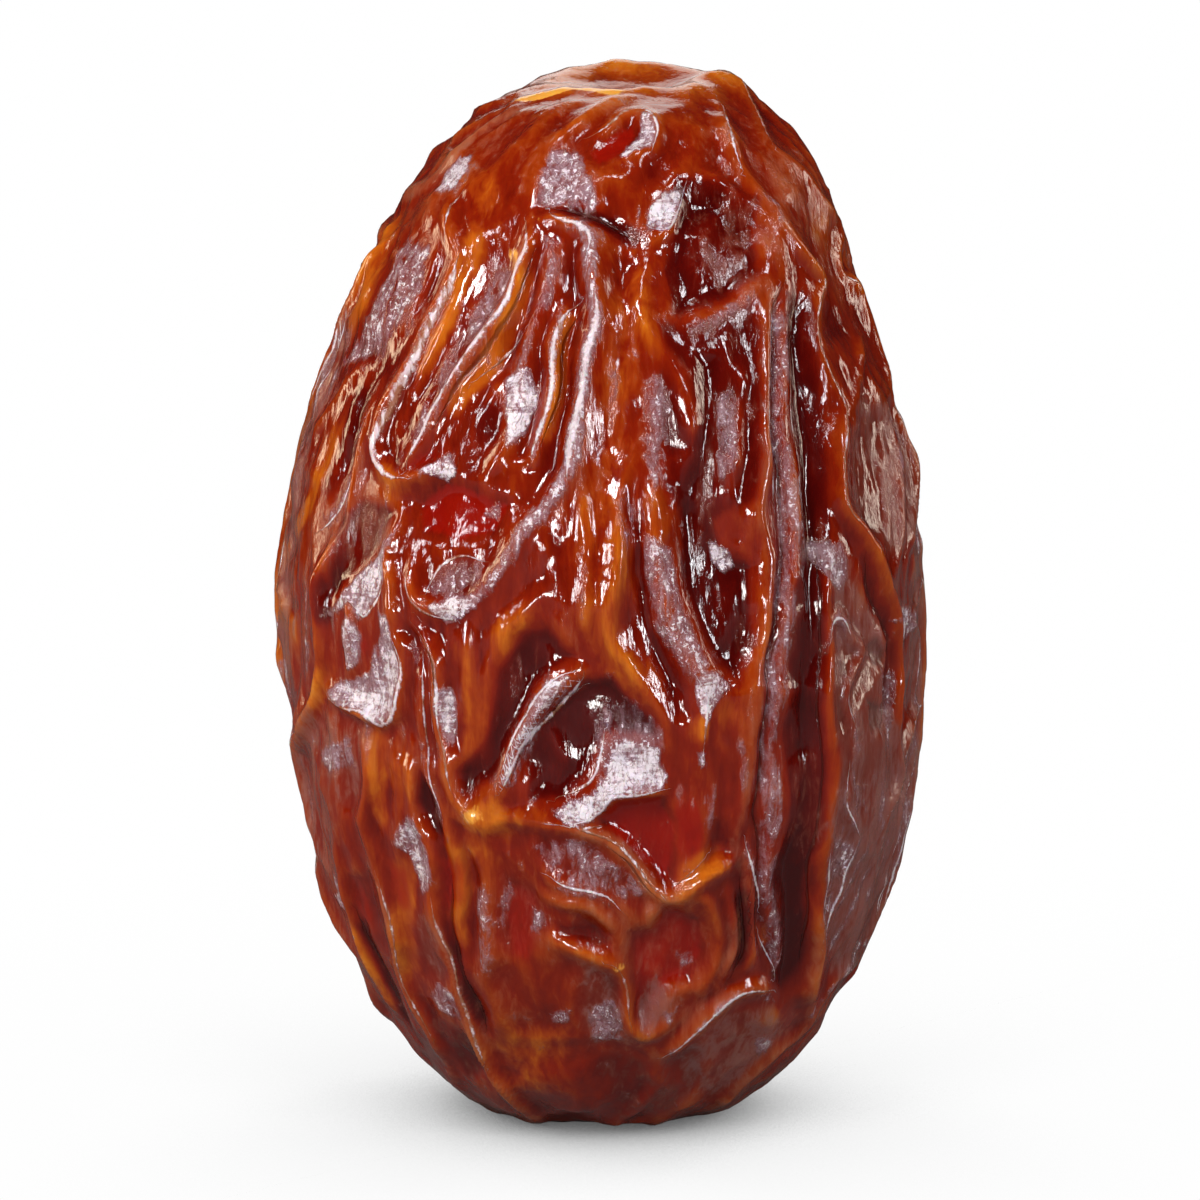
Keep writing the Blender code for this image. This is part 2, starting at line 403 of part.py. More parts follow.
def area_relief(form, place, area):
    """How deep inside an outline each place lies: 0 outside, 1 past its sloping edge."""
    _, edge, outline = area
    curve = np.vstack([outline, outline[:1]])
    angles, rises = form.seen(curve[:, 0], curve[:, 1])
    angle, rise, radius = place
    inside = np.zeros(len(angle), bool)
    nearest = np.full(len(angle), np.inf)
    for a0, a1, r0, r1 in zip(angles, angles[1:], rises, rises[1:]):
        crosses = (r0 > rise) != (r1 > rise)
        with np.errstate(divide="ignore", invalid="ignore"):
            at = a0 + (rise - r0) * (a1 - a0) / (r1 - r0)
        inside ^= crosses & (angle < at)
        start_x, start_y = radius * (a0 - angle), r0 - rise
        step_x, step_y = radius * (a1 - a0), r1 - r0
        length2 = step_x**2 + step_y**2 + 1e-9
        share = np.clip(-(start_x * step_x + start_y * step_y) / length2, 0.0, 1.0)
        gap = np.hypot(start_x + share * step_x, start_y + share * step_y)
        nearest = np.minimum(nearest, gap)
    return smooth(0.5 + np.where(inside, nearest, -nearest) / edge)


def laid_relief(form, place):
    """Folds, creases and hollows of the layout, at places that face it."""
    raised = np.zeros(len(place[0]))
    sunk = np.zeros(len(place[0]))
    hollow = np.zeros(len(place[0]))
    for fold in FOLDS:
        raised += (FOLD_SHARE * fold[0] * line_relief(form, place, fold)) ** JOIN_SHARPNESS
    for crease in CREASES:
        sunk += (CREASE_SHARE * crease[0] * line_relief(form, place, crease)) ** JOIN_SHARPNESS
    for area in HOLLOWS:
        hollow = np.maximum(hollow, HOLLOW_SHARE * area[0] * area_relief(form, place, area))
    return raised ** (1 / JOIN_SHARPNESS), sunk ** (1 / JOIN_SHARPNESS) + hollow


def wavy(points, grain, shift=0.0):
    """Smooth noise from -1 to 1 at each point, with features of about 1 / grain millimetres."""
    offset = Vector((shift, 2 * shift, 3 * shift))
    return np.array([noise.noise(Vector(point) * grain + offset) for point in points])


def dented(points, depth, across, along, shift):
    """Bowls that meet in sharp ridges: half the depth up on a ridge and down in a bowl."""
    bend = DENT_BEND * np.stack([wavy(points, DENT_BEND_GRAIN, shift + turn) for turn in (1, 4, 7)])
    found = np.empty(len(points))
    for index, point in enumerate(points):
        spot = Vector((point[0] / across, point[1] / across, point[2] / along))
        gaps, _ = noise.voronoi(spot + Vector(bend[:, index]) + Vector((shift, 0.0, 0.0)))
        found[index] = gaps[0]
    return depth * (np.minimum(2.2 * found**2, 1.4) - 0.5)


def relief(form, angle, rise):
    """How far the skin stands off the plump form at each angle and rise."""
    points = form.point(angle, rise)
    radius = np.interp(rise, form.rise, form.radius)
    height = points[:, 2]
    angle = angle + LINE_WANDER * wavy(points, LINE_WANDER_GRAIN, 21.0) / np.maximum(radius, 2.0)
    rise = rise + LINE_WANDER * wavy(points, LINE_WANDER_GRAIN, 27.0)
    front = 1.0 - smooth((np.abs(angle) - FRONT_SHEET_REACH[0]) / np.ptp(FRONT_SHEET_REACH))
    raised, sunk = laid_relief(form, (angle, rise, radius))
    raised, sunk = raised * front, sunk * front
    warp_x = REAR_WARP * wavy(points, REAR_WARP_GRAIN, 4.0)
    warp_y = REAR_WARP * wavy(points, REAR_WARP_GRAIN, 9.0)
    for centre, mirror, flipped in REAR_SHEETS:
        turned = mirror * ((angle - centre + math.pi) % (2 * math.pi) - math.pi)
        weight = 1.0 - smooth((np.abs(turned) - REAR_SHEET_REACH[0]) / np.ptp(REAR_SHEET_REACH))
        weight *= 1.0 - smooth((height - REAR_SHEET_TOP[0]) / np.ptp(REAR_SHEET_TOP))
        weight *= smooth((height - REAR_SHEET_FOOT[0]) / np.ptp(REAR_SHEET_FOOT))
        climbed = form.rise[-1] - rise if flipped else rise
        used = weight > 0
        place = (turned + warp_x / np.maximum(radius, 2.0), climbed + warp_y, radius)
        up, down = laid_relief(form, tuple(part[used] for part in place))
        raised[used] = np.maximum(raised[used], weight[used] * up)
        sunk[used] = np.maximum(sunk[used], weight[used] * down)

    bend = PLEAT_BEND * wavy(points, PLEAT_BEND_GRAIN, 2.0)
    pleats = (0.5 + 0.5 * np.cos(PLEATS * (angle + bend))) ** PLEAT_CREST
    at_crown = smooth((height - CROWN_PLEAT_LEVELS[0]) / np.ptp(CROWN_PLEAT_LEVELS))
    at_crown *= smooth((radius - CROWN_PLEAT_RADII[0]) / np.ptp(CROWN_PLEAT_RADII))
    at_foot = 1.0 - smooth((height - FOOT_PLEAT_LEVELS[0]) / np.ptp(FOOT_PLEAT_LEVELS))
    share = 1.0 - (1.0 - FRONT_PLEAT_SHARE) * front
    raised = np.maximum(raised, PLEAT_HEIGHT * share * pleats * np.maximum(at_crown, at_foot))

    wander = 1.0 + FOLD_WANDER * wavy(points, FOLD_WANDER_GRAIN, 6.0)
    swell = SWELL_HEIGHT * wavy(points, SWELL_GRAIN, 1.0)
    total = swell + (raised - sunk) * wander
    smoothed = 1.0 - 0.6 * smooth(raised / 0.6)
    for index, (depth, across, along) in enumerate(DENTS):
        total += smoothed * dented(points, depth, across, along, 31.0 + 9.0 * index)
    from_scar = np.hypot(points[:, 0] - SCAR_CENTRE[0], points[:, 1] - SCAR_CENTRE[1])
    on_top = smooth((height - HEIGHT * 0.9) / 2.0)
    uneven = from_scar * (1.0 + 0.25 * wavy(points, 0.35, 3.0))
    behind = points[:, 1] + SCAR_RIM_RIGHT * points[:, 0]
    climbed = smooth((behind - SCAR_RIM_CLIMB[0]) / np.ptp(SCAR_RIM_CLIMB))
    rim = SCAR_RIM_HEIGHTS[0] + climbed * np.ptp(SCAR_RIM_HEIGHTS)
    rim *= np.exp(-(((uneven - SCAR_RIM_RADIUS) / SCAR_RIM_WIDTH) ** 2))
    dimple = SCAR_DEPTH * smooth(1.0 - uneven / (SCAR_RIM_RADIUS - 0.4))
    button = SCAR_BUTTON_HEIGHT * np.exp(-((from_scar / SCAR_BUTTON_RADIUS) ** 2))
    inside_rim = smooth((from_scar - 2.0) / 2.0)
    total = total * (1.0 - on_top * (1.0 - inside_rim)) + on_top * (rim - dimple + button)
    rest = smooth((radius - REST_RADII[0]) / np.ptp(REST_RADII))
    keeps_off = np.where(height < HEIGHT / 2, rest, 1.0)
    return total * keeps_off


def skin_points(form, directions):
    """Where each direction from the middle of a ball lands on the folded skin."""
    polar = np.arccos(np.clip(directions[:, 2], -1.0, 1.0))
    angle = np.arctan2(directions[:, 0], -directions[:, 1])
    rise = form.rise[-1] * (1.0 - polar / math.pi)
    off = relief(form, angle, rise)
    return form.point(angle, rise) + off[:, None] * form.normal(angle, rise)


def even_ball(cuts):
    """A cube whose faces are cut into a grid and blown up to a ball of near-equal squares."""
    ball = bmesh.new()
    bmesh.ops.create_cube(ball, size=2.0)
    bmesh.ops.subdivide_edges(ball, edges=ball.edges, cuts=cuts, use_grid_fill=True)
    for vertex in ball.verts:
        spread = [math.tan(part * math.pi / 4) for part in vertex.co]
        vertex.co = Vector(spread).normalized()
    return ball


def skin_material():
    material = bpy.data.materials.new("date_skin")
    material.use_nodes = True
    shader = material.node_tree.nodes["Principled BSDF"]
    shader.inputs["Base Color"].default_value = (0.16, 0.022, 0.006, 1.0)
    shader.inputs["Roughness"].default_value = 0.32
    shader.inputs["Metallic"].default_value = 0.0
    return material


def make_fruit(collection):
    ball = even_ball(CUBE_CUTS)
    mesh = bpy.data.meshes.new(FRUIT_NAME)
    ball.to_mesh(mesh)
    ball.free()
    directions = np.empty(len(mesh.vertices) * 3, np.float32)
    mesh.vertices.foreach_get("co", directions)
    points = skin_points(Form(), directions.reshape(-1, 3).astype(float)) * METRE
    mesh.vertices.foreach_set("co", points.astype(np.float32).ravel())
    mesh.update()
    mesh.shade_smooth()
    mesh.materials.append(skin_material())
    fruit = bpy.data.objects.new(FRUIT_NAME, mesh)
    collection.objects.link(fruit)
    return fruit


def make_ground_cutter(collection):
    """A block under the fruit, which takes off everything below the level it stands on."""
    block = bmesh.new()
    bmesh.ops.create_cube(block, size=HEIGHT * METRE)
    mesh = bpy.data.meshes.new("ground_cutter")
    block.to_mesh(mesh)
    block.free()
    cutter = bpy.data.objects.new("ground_cutter", mesh)
    cutter.location.z = -HEIGHT / 2 * METRE
    cutter.hide_render = True
    cutter.display_type = "WIRE"
    collection.objects.link(cutter)
    return cutter


def main():
    for thing in list(bpy.data.objects):
        bpy.data.objects.remove(thing, do_unlink=True)
    model = bpy.data.collections.new("date")
    cutters = bpy.data.collections.new("cutters")
    bpy.context.scene.collection.children.link(model)
    bpy.context.scene.collection.children.link(cutters)

    fruit = make_fruit(model)
    thinned = fruit.modifiers.new("fewer faces", "DECIMATE")
    thinned.ratio = KEPT_TRIANGLES / (2 * len(fruit.data.polygons))
    rest = fruit.modifiers.new("flat spot", "BOOLEAN")
    rest.operation = "DIFFERENCE"
    rest.object = make_ground_cutter(cutters)


main()
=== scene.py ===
import math

import bmesh
import bpy
import numpy as np
from mathutils import Matrix, Vector, noise


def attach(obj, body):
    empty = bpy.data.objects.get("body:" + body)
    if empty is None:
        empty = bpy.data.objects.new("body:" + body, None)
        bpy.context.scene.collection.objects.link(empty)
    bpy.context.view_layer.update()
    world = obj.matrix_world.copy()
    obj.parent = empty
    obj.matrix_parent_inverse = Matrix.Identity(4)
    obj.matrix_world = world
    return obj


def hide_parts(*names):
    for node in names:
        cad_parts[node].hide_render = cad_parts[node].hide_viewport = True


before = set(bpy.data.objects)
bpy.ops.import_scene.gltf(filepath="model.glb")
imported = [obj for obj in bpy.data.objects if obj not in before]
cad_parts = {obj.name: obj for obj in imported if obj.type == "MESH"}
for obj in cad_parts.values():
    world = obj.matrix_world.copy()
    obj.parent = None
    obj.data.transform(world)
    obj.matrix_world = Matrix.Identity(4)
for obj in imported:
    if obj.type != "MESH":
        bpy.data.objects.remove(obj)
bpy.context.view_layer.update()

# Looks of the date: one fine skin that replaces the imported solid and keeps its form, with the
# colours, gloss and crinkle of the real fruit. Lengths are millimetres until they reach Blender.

FRUIT_NAME = "date_fruit"
SKIN_NAME = "date_skin"
METRE = 0.001

# Plump form, from the blossom end at level 0 to the crown at level 1
HEIGHT = 49.5
GIRTH = 14.95
DEPTH_RATIO = 0.93
FOOT_BLUNTNESS = 0.35
CROWN_BLUNTNESS = 0.352
SHOULDER_TAPER = 0.11
SHOULDER_START = 0.45
SHOULDER_LENGTH = 0.5
FOOT_SUNK = 0.3
CROWN_LEAN = 0.9
CROWN_LEAN_START = 0.72
CROWN_LEAN_BEND = 1.5
BELLY_LEAN = -0.2
BELLY_LEVEL = 0.5
BELLY_SPAN = 0.1

# Stem scar in the crown: a shallow dimple in a rim that stands higher at the back and right
SCAR_CENTRE = (1.0, 0.2)
SCAR_RIM_RADIUS = 4.3
SCAR_RIM_WIDTH = 1.5
SCAR_RIM_HEIGHTS = (-0.15, 0.7)
SCAR_RIM_CLIMB = (-3.5, 3.0)
SCAR_RIM_RIGHT = 0.35
SCAR_DEPTH = 0.9
SCAR_BUTTON_HEIGHT = 0.4
SCAR_BUTTON_RADIUS = 1.1
SCAR_LEVEL = 0.9
SCAR_FADE = 2.0
SCAR_UNEVEN = 0.25
SCAR_UNEVEN_GRAIN = 0.35
SCAR_DIMPLE_MARGIN = 0.4
SCAR_CLEAN_RADII = (2.0, 4.0)
SCAR_STAIN_REACH = 1.6

# The folds are laid out as seen from the front, a little above and from this far away
VIEW_TILT = math.radians(10)
VIEW_DISTANCE = 300.0
VIEW_AIM = (-0.28, 0.0, 24.5)
VIEW_LEVEL = 24.12
VIEW_ROUNDS = 40

# Lines and outlines that the relief shares with the colours: x, height, x, height and so on,
# as seen from the front
LOW_BOWL = (1.3, 8.3, 2, 8.4, 3, 9.6, 4.3, 9, 4.5, 7.5, 4, 6.2, 3, 5.8, 2, 4.5, 1.6, 4.6, 1.3, 6.2)
LONG_BOWL = (-5, 21, -4, 22.4, -2.8, 22.8, -1.6, 21.6, -3.2, 20.2, -4.3, 18, -5.2, 15.9, -6.4, 15,
    -6.8, 16, -5.6, 18)
SEAM_FOOT = (7.6, 20.8, 7.4, 18.8, 7.2, 16.5, 7.05, 15, 6.9, 14, 7.2, 12.5, 7.15, 10, 7.1, 8.5,
    7.3, 7.2)
RIGHT_FOOT_ARC = (12.4, 7.2, 11.4, 6.9, 10.6, 6.3, 10, 5.4, 9.5, 4.6, 9, 3.8, 8, 3, 6.6, 1.7, 5, 0.3)
LEFT_HOOK = (-7.4, 39, -8, 37.7, -9, 35.6, -9.8, 34, -10.4, 32.7, -10.6, 31.2, -10.2, 30.3, -9.3, 29.9,
    -7.5, 30.4)
LEFT_FOOT_ARC = (-10.6, 11, -10.2, 9.5, -9.9, 8, -9.7, 6.5, -9, 5, -8.2, 3.5, -7.4, 2.2, -6.9, 1.3)
MIDDLE_FOOT_ARC = (-7.6, 8.6, -7.1, 7, -6.7, 5.4, -6.1, 3.9, -5.4, 2.4, -4.6, 1.3, -3.7, 0.3,
    -2.8, -0.5)
TALL_FOLD_FOOT = (-0.6, 36.8, -1, 34.8, -1.4, 32, -1.7, 30.2, -2.6, 28.9, -3.7, 27.2, -4.8, 25.6,
    -6, 24.3)
SMALL_TROUGH = (-2.3, 9, -1.5, 9, -0.4, 8.9, 0.4, 8.3, 0.2, 7.8, -0.8, 7.8, -2, 8.3)
CROWN_LOOP = (-1, 45.8, -0.2, 46.2, 0.5, 46.8, 1.2, 47.1, 1.9, 47, 2.4, 46.2, 2.2, 45.3)
RIM_CREASE = (12.2, 26, 12.5, 24.8, 13, 23.3, 13.4, 22.3, 13.45, 20.5, 13.3, 18.9, 12.9, 18.1)
LEFT_BOWL = (-4.8, 11, -3.3, 10.3, -3, 8.5, -3.6, 7, -4.7, 7.4, -4.9, 9.3)
LEFT_SLIT = (-8.6, 16, -8.8, 14.8, -8.1, 13.3, -7.6, 12.8, -7.6, 14, -8.2, 15.4)
MIDDLE_RIDGE = (1.9, 40.6, 1.5, 38, 2.2, 36.2, 3.1, 34.8, 3.7, 33.2, 4, 31)
LEFT_PLEAT = (-6.3, 42, -6.2, 41, -6.6, 39.5, -7.4, 37.2, -8.3, 35.5, -9, 34)
LOW_LIP = (-2.9, 10.3, -2, 10.1, -1.2, 10, -0.5, 9.6, 0.1, 9.1, 0.6, 8.6)
RIGHT_PIT = (12.6, 21.9, 12.9, 22.2, 13.2, 21.6, 13.1, 21, 12.7, 21.1)
FOOT_LOOP = (2.7, 2.7, 3.3, 3.1, 4.2, 3.9, 5.2, 4.9, 6, 5.6)
LEFT_FOOT_CREASE = (-11.7, 9.4, -11.1, 7.4, -10.4, 5.9, -9.8, 4.6, -9, 3.2)
RIGHT_EDGE_FOLD = (14.9, 19.8, 14.4, 18.2, 14, 16.5, 13.6, 15.4, 13.1, 14.3)
CROWN_CREASE = (-2.4, 42.5, -1, 42.1, 0.5, 41.7, 1.8, 41.2)

# Raised folds: height, half width on the left and on the right going down, and the crest
FOLDS = (
    # Crown and shoulders
    (0.45, 0.9, 0.9, (-4.2, 47.7, -3, 48.1, -1.2, 48.4, 0.5, 48.2, 2, 48.4, 3.4, 48.7, 5, 48.4, 6, 48,
        7, 47.1, 7.8, 45.4, 9, 44.2, 10.2, 42.7, 11, 41.5, 11.6, 40.3, 12, 39, 12.5, 37.4)),
    (0.35, 0.8, 0.8, (-4.2, 47.5, -6, 46.1, -7, 45, -8, 44, -9, 43.3, -10.2, 42.7)),
    (0.55, 0.9, 0.8, (1.5, 48.1, 0.5, 47.7, -0.5, 47.1, -1.5, 46.3, -2.4, 45.4, -2.9, 44.2, -3.3, 42.7,
        -3.4, 42)),
    (0.35, 0.5, 0.6, CROWN_LOOP + (1.2, 45.1, 0.2, 44.9)),
    (0.25, 0.5, 0.5, (-0.6, 44.1, -0.3, 43.3, -0.3, 42.5, -1.3, 42.2)),
    (0.3, 0.6, 0.4, (3.85, 43.7, 3.6, 42.8, 3.1, 41.6, 2.1, 41.1, 1, 41.5)),
    (0.6, 0.9, 1.0, (5.1, 47.8, 5.3, 46.8, 6.1, 44.9, 6.6, 44, 7.2, 43.1, 7.8, 42.3, 8.4, 41.2,
        9.8, 39.5, 10.1, 38.8, 9.75, 37.5, 9.9, 36, 10.4, 34.4, 11, 33.2)),
    (0.35, 0.5, 0.6, (4.2, 44.6, 5.5, 43.8, 6.3, 43.2, 7, 42.6, 7.7, 41.6, 8, 40.3, 8.1, 39.2)),
    # Upper left pleats
    (0.65, 0.8, 0.6, (-7.1, 43, -7.3, 41.5, -6.95, 40.3) + LEFT_HOOK),
    (0.3, 0.6, 0.5, (-8, 42.8, -7.8, 41.5, -7.9, 40.2, -8.4, 38.8, -9.4, 37.2)),
    (0.35, 1.0, 0.8, (-10, 42.3, -10.8, 40, -11.6, 38, -12.4, 36.8)),
    (0.35, 0.6, 0.6, LEFT_PLEAT),
    (0.8, 1.0, 0.55, (-3.4, 42.2, -3.5, 41, -4.2, 39.2, -5.2, 37.2, -6.6, 35, -8, 32.8, -8.9, 31,
        -9.4, 30.1)),
    (0.5, 0.7, 0.6, (-2.9, 41.6, -2.4, 39.8, -3, 38, -3.6, 36.5, -4.1, 34.6, -4.2, 33, -4.6, 31.5,
        -5.6, 30)),
    (0.5, 0.6, 0.5, (-2.1, 38, -2.4, 36, -2.6, 34, -3, 32, -3.6, 30.8, -4.6, 30.6)),
    # The tall fold that hooks round the blister on the left
    (0.9, 0.8, 1.4, (-3.4, 42, -2, 41.8, -0.9, 41.1, -0.6, 39.8, -0.5, 38) + TALL_FOLD_FOOT),
    (0.45, 0.6, 0.9, (-5.4, 25, -6.4, 24.1, -7.4, 23.8, -8.6, 24, -9, 25, -8.8, 26)),
    (0.4, 0.8, 0.8, MIDDLE_RIDGE),
    (0.35, 0.7, 0.6, (6.6, 35.5, 6.1, 33.5, 6.1, 31.5, 5.8, 30, 6.1, 28)),
    (0.2, 0.7, 0.7, (3.2, 36.5, 4.8, 37.3, 6, 38.1, 7.1, 38.8, 8, 39.2, 8.6, 40.3)),
    # Right: the long seam, the deep gully beside it and its far rim
    (0.45, 1.0, 0.5, (8, 39, 7.5, 37.5, 7.4, 35, 7.4, 32, 7.3, 30, 7.1, 28.3, 7.4, 26.5, 7.7, 25,
        7.6, 23, 7.3, 21, 7, 19, 6.8, 17, 6.6, 15.2, 6.2, 13.6, 6, 12)),
    (0.3, 0.7, 0.8, (8.6, 38.7, 8.3, 36, 8.3, 33, 8.6, 30, 8.8, 27.5, 8.6, 25, 8.4, 23, 8.2, 21,
        7.9, 19, 7.6, 17, 7.7, 15, 7.9, 13, 7.6, 11, 7.7, 9.5, 8.1, 8, 8.2, 6.2)),
    (0.6, 0.7, 0.8, (11, 33.2, 10.9, 31.8, 10.9, 30.3, 11.2, 28.8, 11.9, 27.5, 12.9, 25.3, 13.3, 24,
        13.7, 22.6, 13.8, 20.5, 13.7, 18.5, 13.9, 15.5)),
    (0.35, 0.5, 0.5, (12.1, 36.7, 11.9, 35.4, 11.5, 33.8, 11, 33.2)),
    (0.6, 0.6, 0.9, (10.5, 26, 10.1, 24, 10.3, 22, 10.2, 20, 10.3, 18, 10.4, 17, 10.3, 15.5, 10.1, 14,
        10, 12.5, 10.05, 11, 9.9, 9.5, 9.9, 8, 9.6, 6.3, 9.3, 4.6)),
    (0.4, 0.8, 0.8, (12.3, 34.6, 13, 33.3, 13.5, 31.5, 13.7, 29.5, 13.8, 27, 13.5, 25.3)),
    (0.3, 0.7, 0.7, (14.2, 31, 14.4, 29.3, 14.8, 27.5)),
    (0.35, 0.4, 0.5, (10.2, 22, 10.5, 23, 11.1, 23.2, 11.6, 22.4, 12.2, 21.6, 11.4, 20.4, 11.2, 19.4,
        11.5, 18)),
    (0.35, 0.6, 0.6, RIGHT_EDGE_FOLD + (12.9, 12.4)),
    (0.25, 0.5, 0.5, (11, 16.2, 11, 15, 11, 14.2, 11.5, 13.2, 11.1, 11.5, 10.9, 10.3, 10.5, 9.3,
        10.1, 8.2)),
    (0.4, 0.7, 0.7, RIGHT_FOOT_ARC),
    # Left side
    (0.35, 0.9, 0.9, (-13.6, 34.6, -13.9, 33, -14, 31, -14.3, 29.7, -15, 28)),
    (0.3, 0.7, 0.7, (-10.9, 35.3, -11.8, 34.6, -12.7, 33.4, -13.4, 32.2, -13.9, 30.6)),
    (0.55, 0.8, 0.7, (-10.4, 34, -11, 32, -11.5, 30.3, -12, 28.4, -12.8, 26.6, -13.3, 25, -13.4, 23,
        -13.5, 21, -13.75, 19.3, -14.2, 18.4, -14.5, 17)),
    (0.55, 0.8, 0.6, (-9.7, 27.8, -10.2, 26.3, -9.9, 24.8, -9.9, 23.3, -9.7, 22.2, -9.4, 20.7,
        -9.9, 19.2, -10.8, 18.4, -12.2, 19.1, -13.1, 19.9)),
    (0.35, 0.6, 0.5, (-12.3, 24.6, -12, 23.4, -12.1, 22, -12.3, 20.5)),
    # The long loop under the blister and the narrow fold that closes it
    (0.5, 0.6, 0.7, (-8.9, 23, -8.4, 22.2, -8.1, 21.2, -7.95, 19.7, -7.8, 18, -7.4, 16.4, -7, 15,
        -6.6, 14.3, -6, 13.9, -5.5, 14.2, -4.9, 15.3, -4.3, 16.6, -3.8, 17.8, -3.3, 18.8, -2.7, 19.7,
        -1.8, 20.5, -1.1, 20.8)),
    (0.4, 0.6, 0.5, (-8.7, 22, -8.6, 20, -8.6, 18, -8.3, 16.2, -7.9, 14.8, -7.5, 13.6, -7.1, 12.6,
        -6.9, 11, -6.85, 9, -6.5, 7.3)),
    (0.35, 0.6, 0.6, (-3, 24.5, -3.8, 23.6, -4.7, 22.6, -5.2, 21.5, -5.5, 19.8, -5.9, 17)),
    (0.3, 0.7, 0.7, (-6.5, 23, -6.5, 21, -6.4, 19, -6.3, 17)),
    # Middle: amber ridge, a band with bloom and painted sheen, and the crumpled lip over the wet
    # pocket
    (0.55, 1.0, 0.9, (0.8, 30, 0.6, 27, 0.4, 25, 0.2, 23.5, 0.4, 22, 1.2, 20.9, 2.1, 19.7, 2.7, 18.6,
        3, 17.2, 3.1, 16.2)),
    (0.35, 0.6, 0.5, (-1.2, 30, -0.8, 27, -0.8, 25, -0.8, 23.3, -0.5, 21.8)),
    (0.6, 0.8, 1.1, (2.4, 30, 2.3, 27, 2.7, 25, 3, 23.3, 3.4, 22, 4, 21, 4.6, 20.2, 4.6, 19, 4.6, 17.8,
        4.5, 16.5)),
    (0.3, 0.5, 0.5, (3.4, 19.5, 3.6, 18, 3.7, 16.6)),
    (0.55, 0.6, 1.0, (-1.9, 13.6, -0.6, 14, 0.2, 14.9, 1.4, 15, 2.6, 15.2, 3.1, 16)),
    (0.6, 0.7, 0.6, (-7, 14, -5.8, 13.6, -4.5, 14, -3.3, 13.8, -2.3, 13.5, -1.2, 13.3, 0, 12.8, 1, 12,
        1.8, 11.2, 2.5, 10.4, 3.1, 10.1, 4, 10.6, 5, 11.4, 6.1, 12, 6.4, 12.6)),
    (0.35, 0.5, 0.5, (3.1, 10.1, 2.4, 9.6, 2.1, 9, 2, 8.5)),
    (0.35, 0.7, 0.6, (4.9, 17.7, 4.8, 16.3, 4.9, 15, 4.6, 13.8, 4.5, 12.6, 4.2, 11.6)),
    (0.35, 0.5, 0.5, (5.1, 18.2, 5.5, 17, 5.7, 15.6, 5.7, 14.3)),
    (0.45, 0.5, 0.6, LOW_LIP + (0.8, 8.1)),
    (0.35, 0.5, 0.5, (-3.3, 12.7, -2.8, 11.3, -2, 10.9, -1, 10.6, 0.3, 10, 1, 9.3, 1.3, 8.4)),
    (0.5, 0.7, 0.5, (-2.4, 8.1, -1.4, 7.7, -0.2, 7.3, 0.4, 7, 0.8, 6.2, 1.1, 5.1, 1.3, 4.1, 1.9, 3.6,
        2.9, 4.1)),
    (0.4, 0.5, 0.5, (3.6, 10, 4.6, 10.2, 5.2, 9.2, 5.3, 7.8, 5.1, 6.7, 4.6, 5.7)),
    (0.4, 0.5, 0.5, (6.1, 10.4, 6, 9, 6, 8, 5.7, 7, 5.3, 5.9)),
    (0.45, 0.6, 0.6, (6.4, 12.6, 6.9, 11.3, 6.85, 9.8, 6.8, 8.4, 6.6, 7, 6.1, 6.4)),
    # Foot: two long arcs and the pleats that run into them
    (0.5, 0.8, 0.7, FOOT_LOOP + (7, 5.85, 8, 5.8)),
    (0.6, 0.8, 0.7, (-9.1, 17.3, -9, 15.4, -8.9, 14, -8.3, 12.9, -8, 11.8, -8.2, 10.4) +
        MIDDLE_FOOT_ARC),
    (0.4, 0.8, 0.7, (-12.5, 13, -12.3, 11.5, -12, 10, -11.5, 8, -10.8, 6, -10, 4.3)),
    (0.45, 0.7, 0.7, (-11.2, 18, -11.1, 15.5, -11.3, 14, -11, 12.4) + LEFT_FOOT_ARC),
    (0.45, 0.9, 0.9, (-6.3, 13, -5.8, 11, -5.65, 9, -5.5, 7, -5.2, 5.2, -5, 3.4)),
    (0.3, 0.6, 0.6, (-9.8, 18, -9.7, 16, -9.6, 14, -9.9, 12)),
)

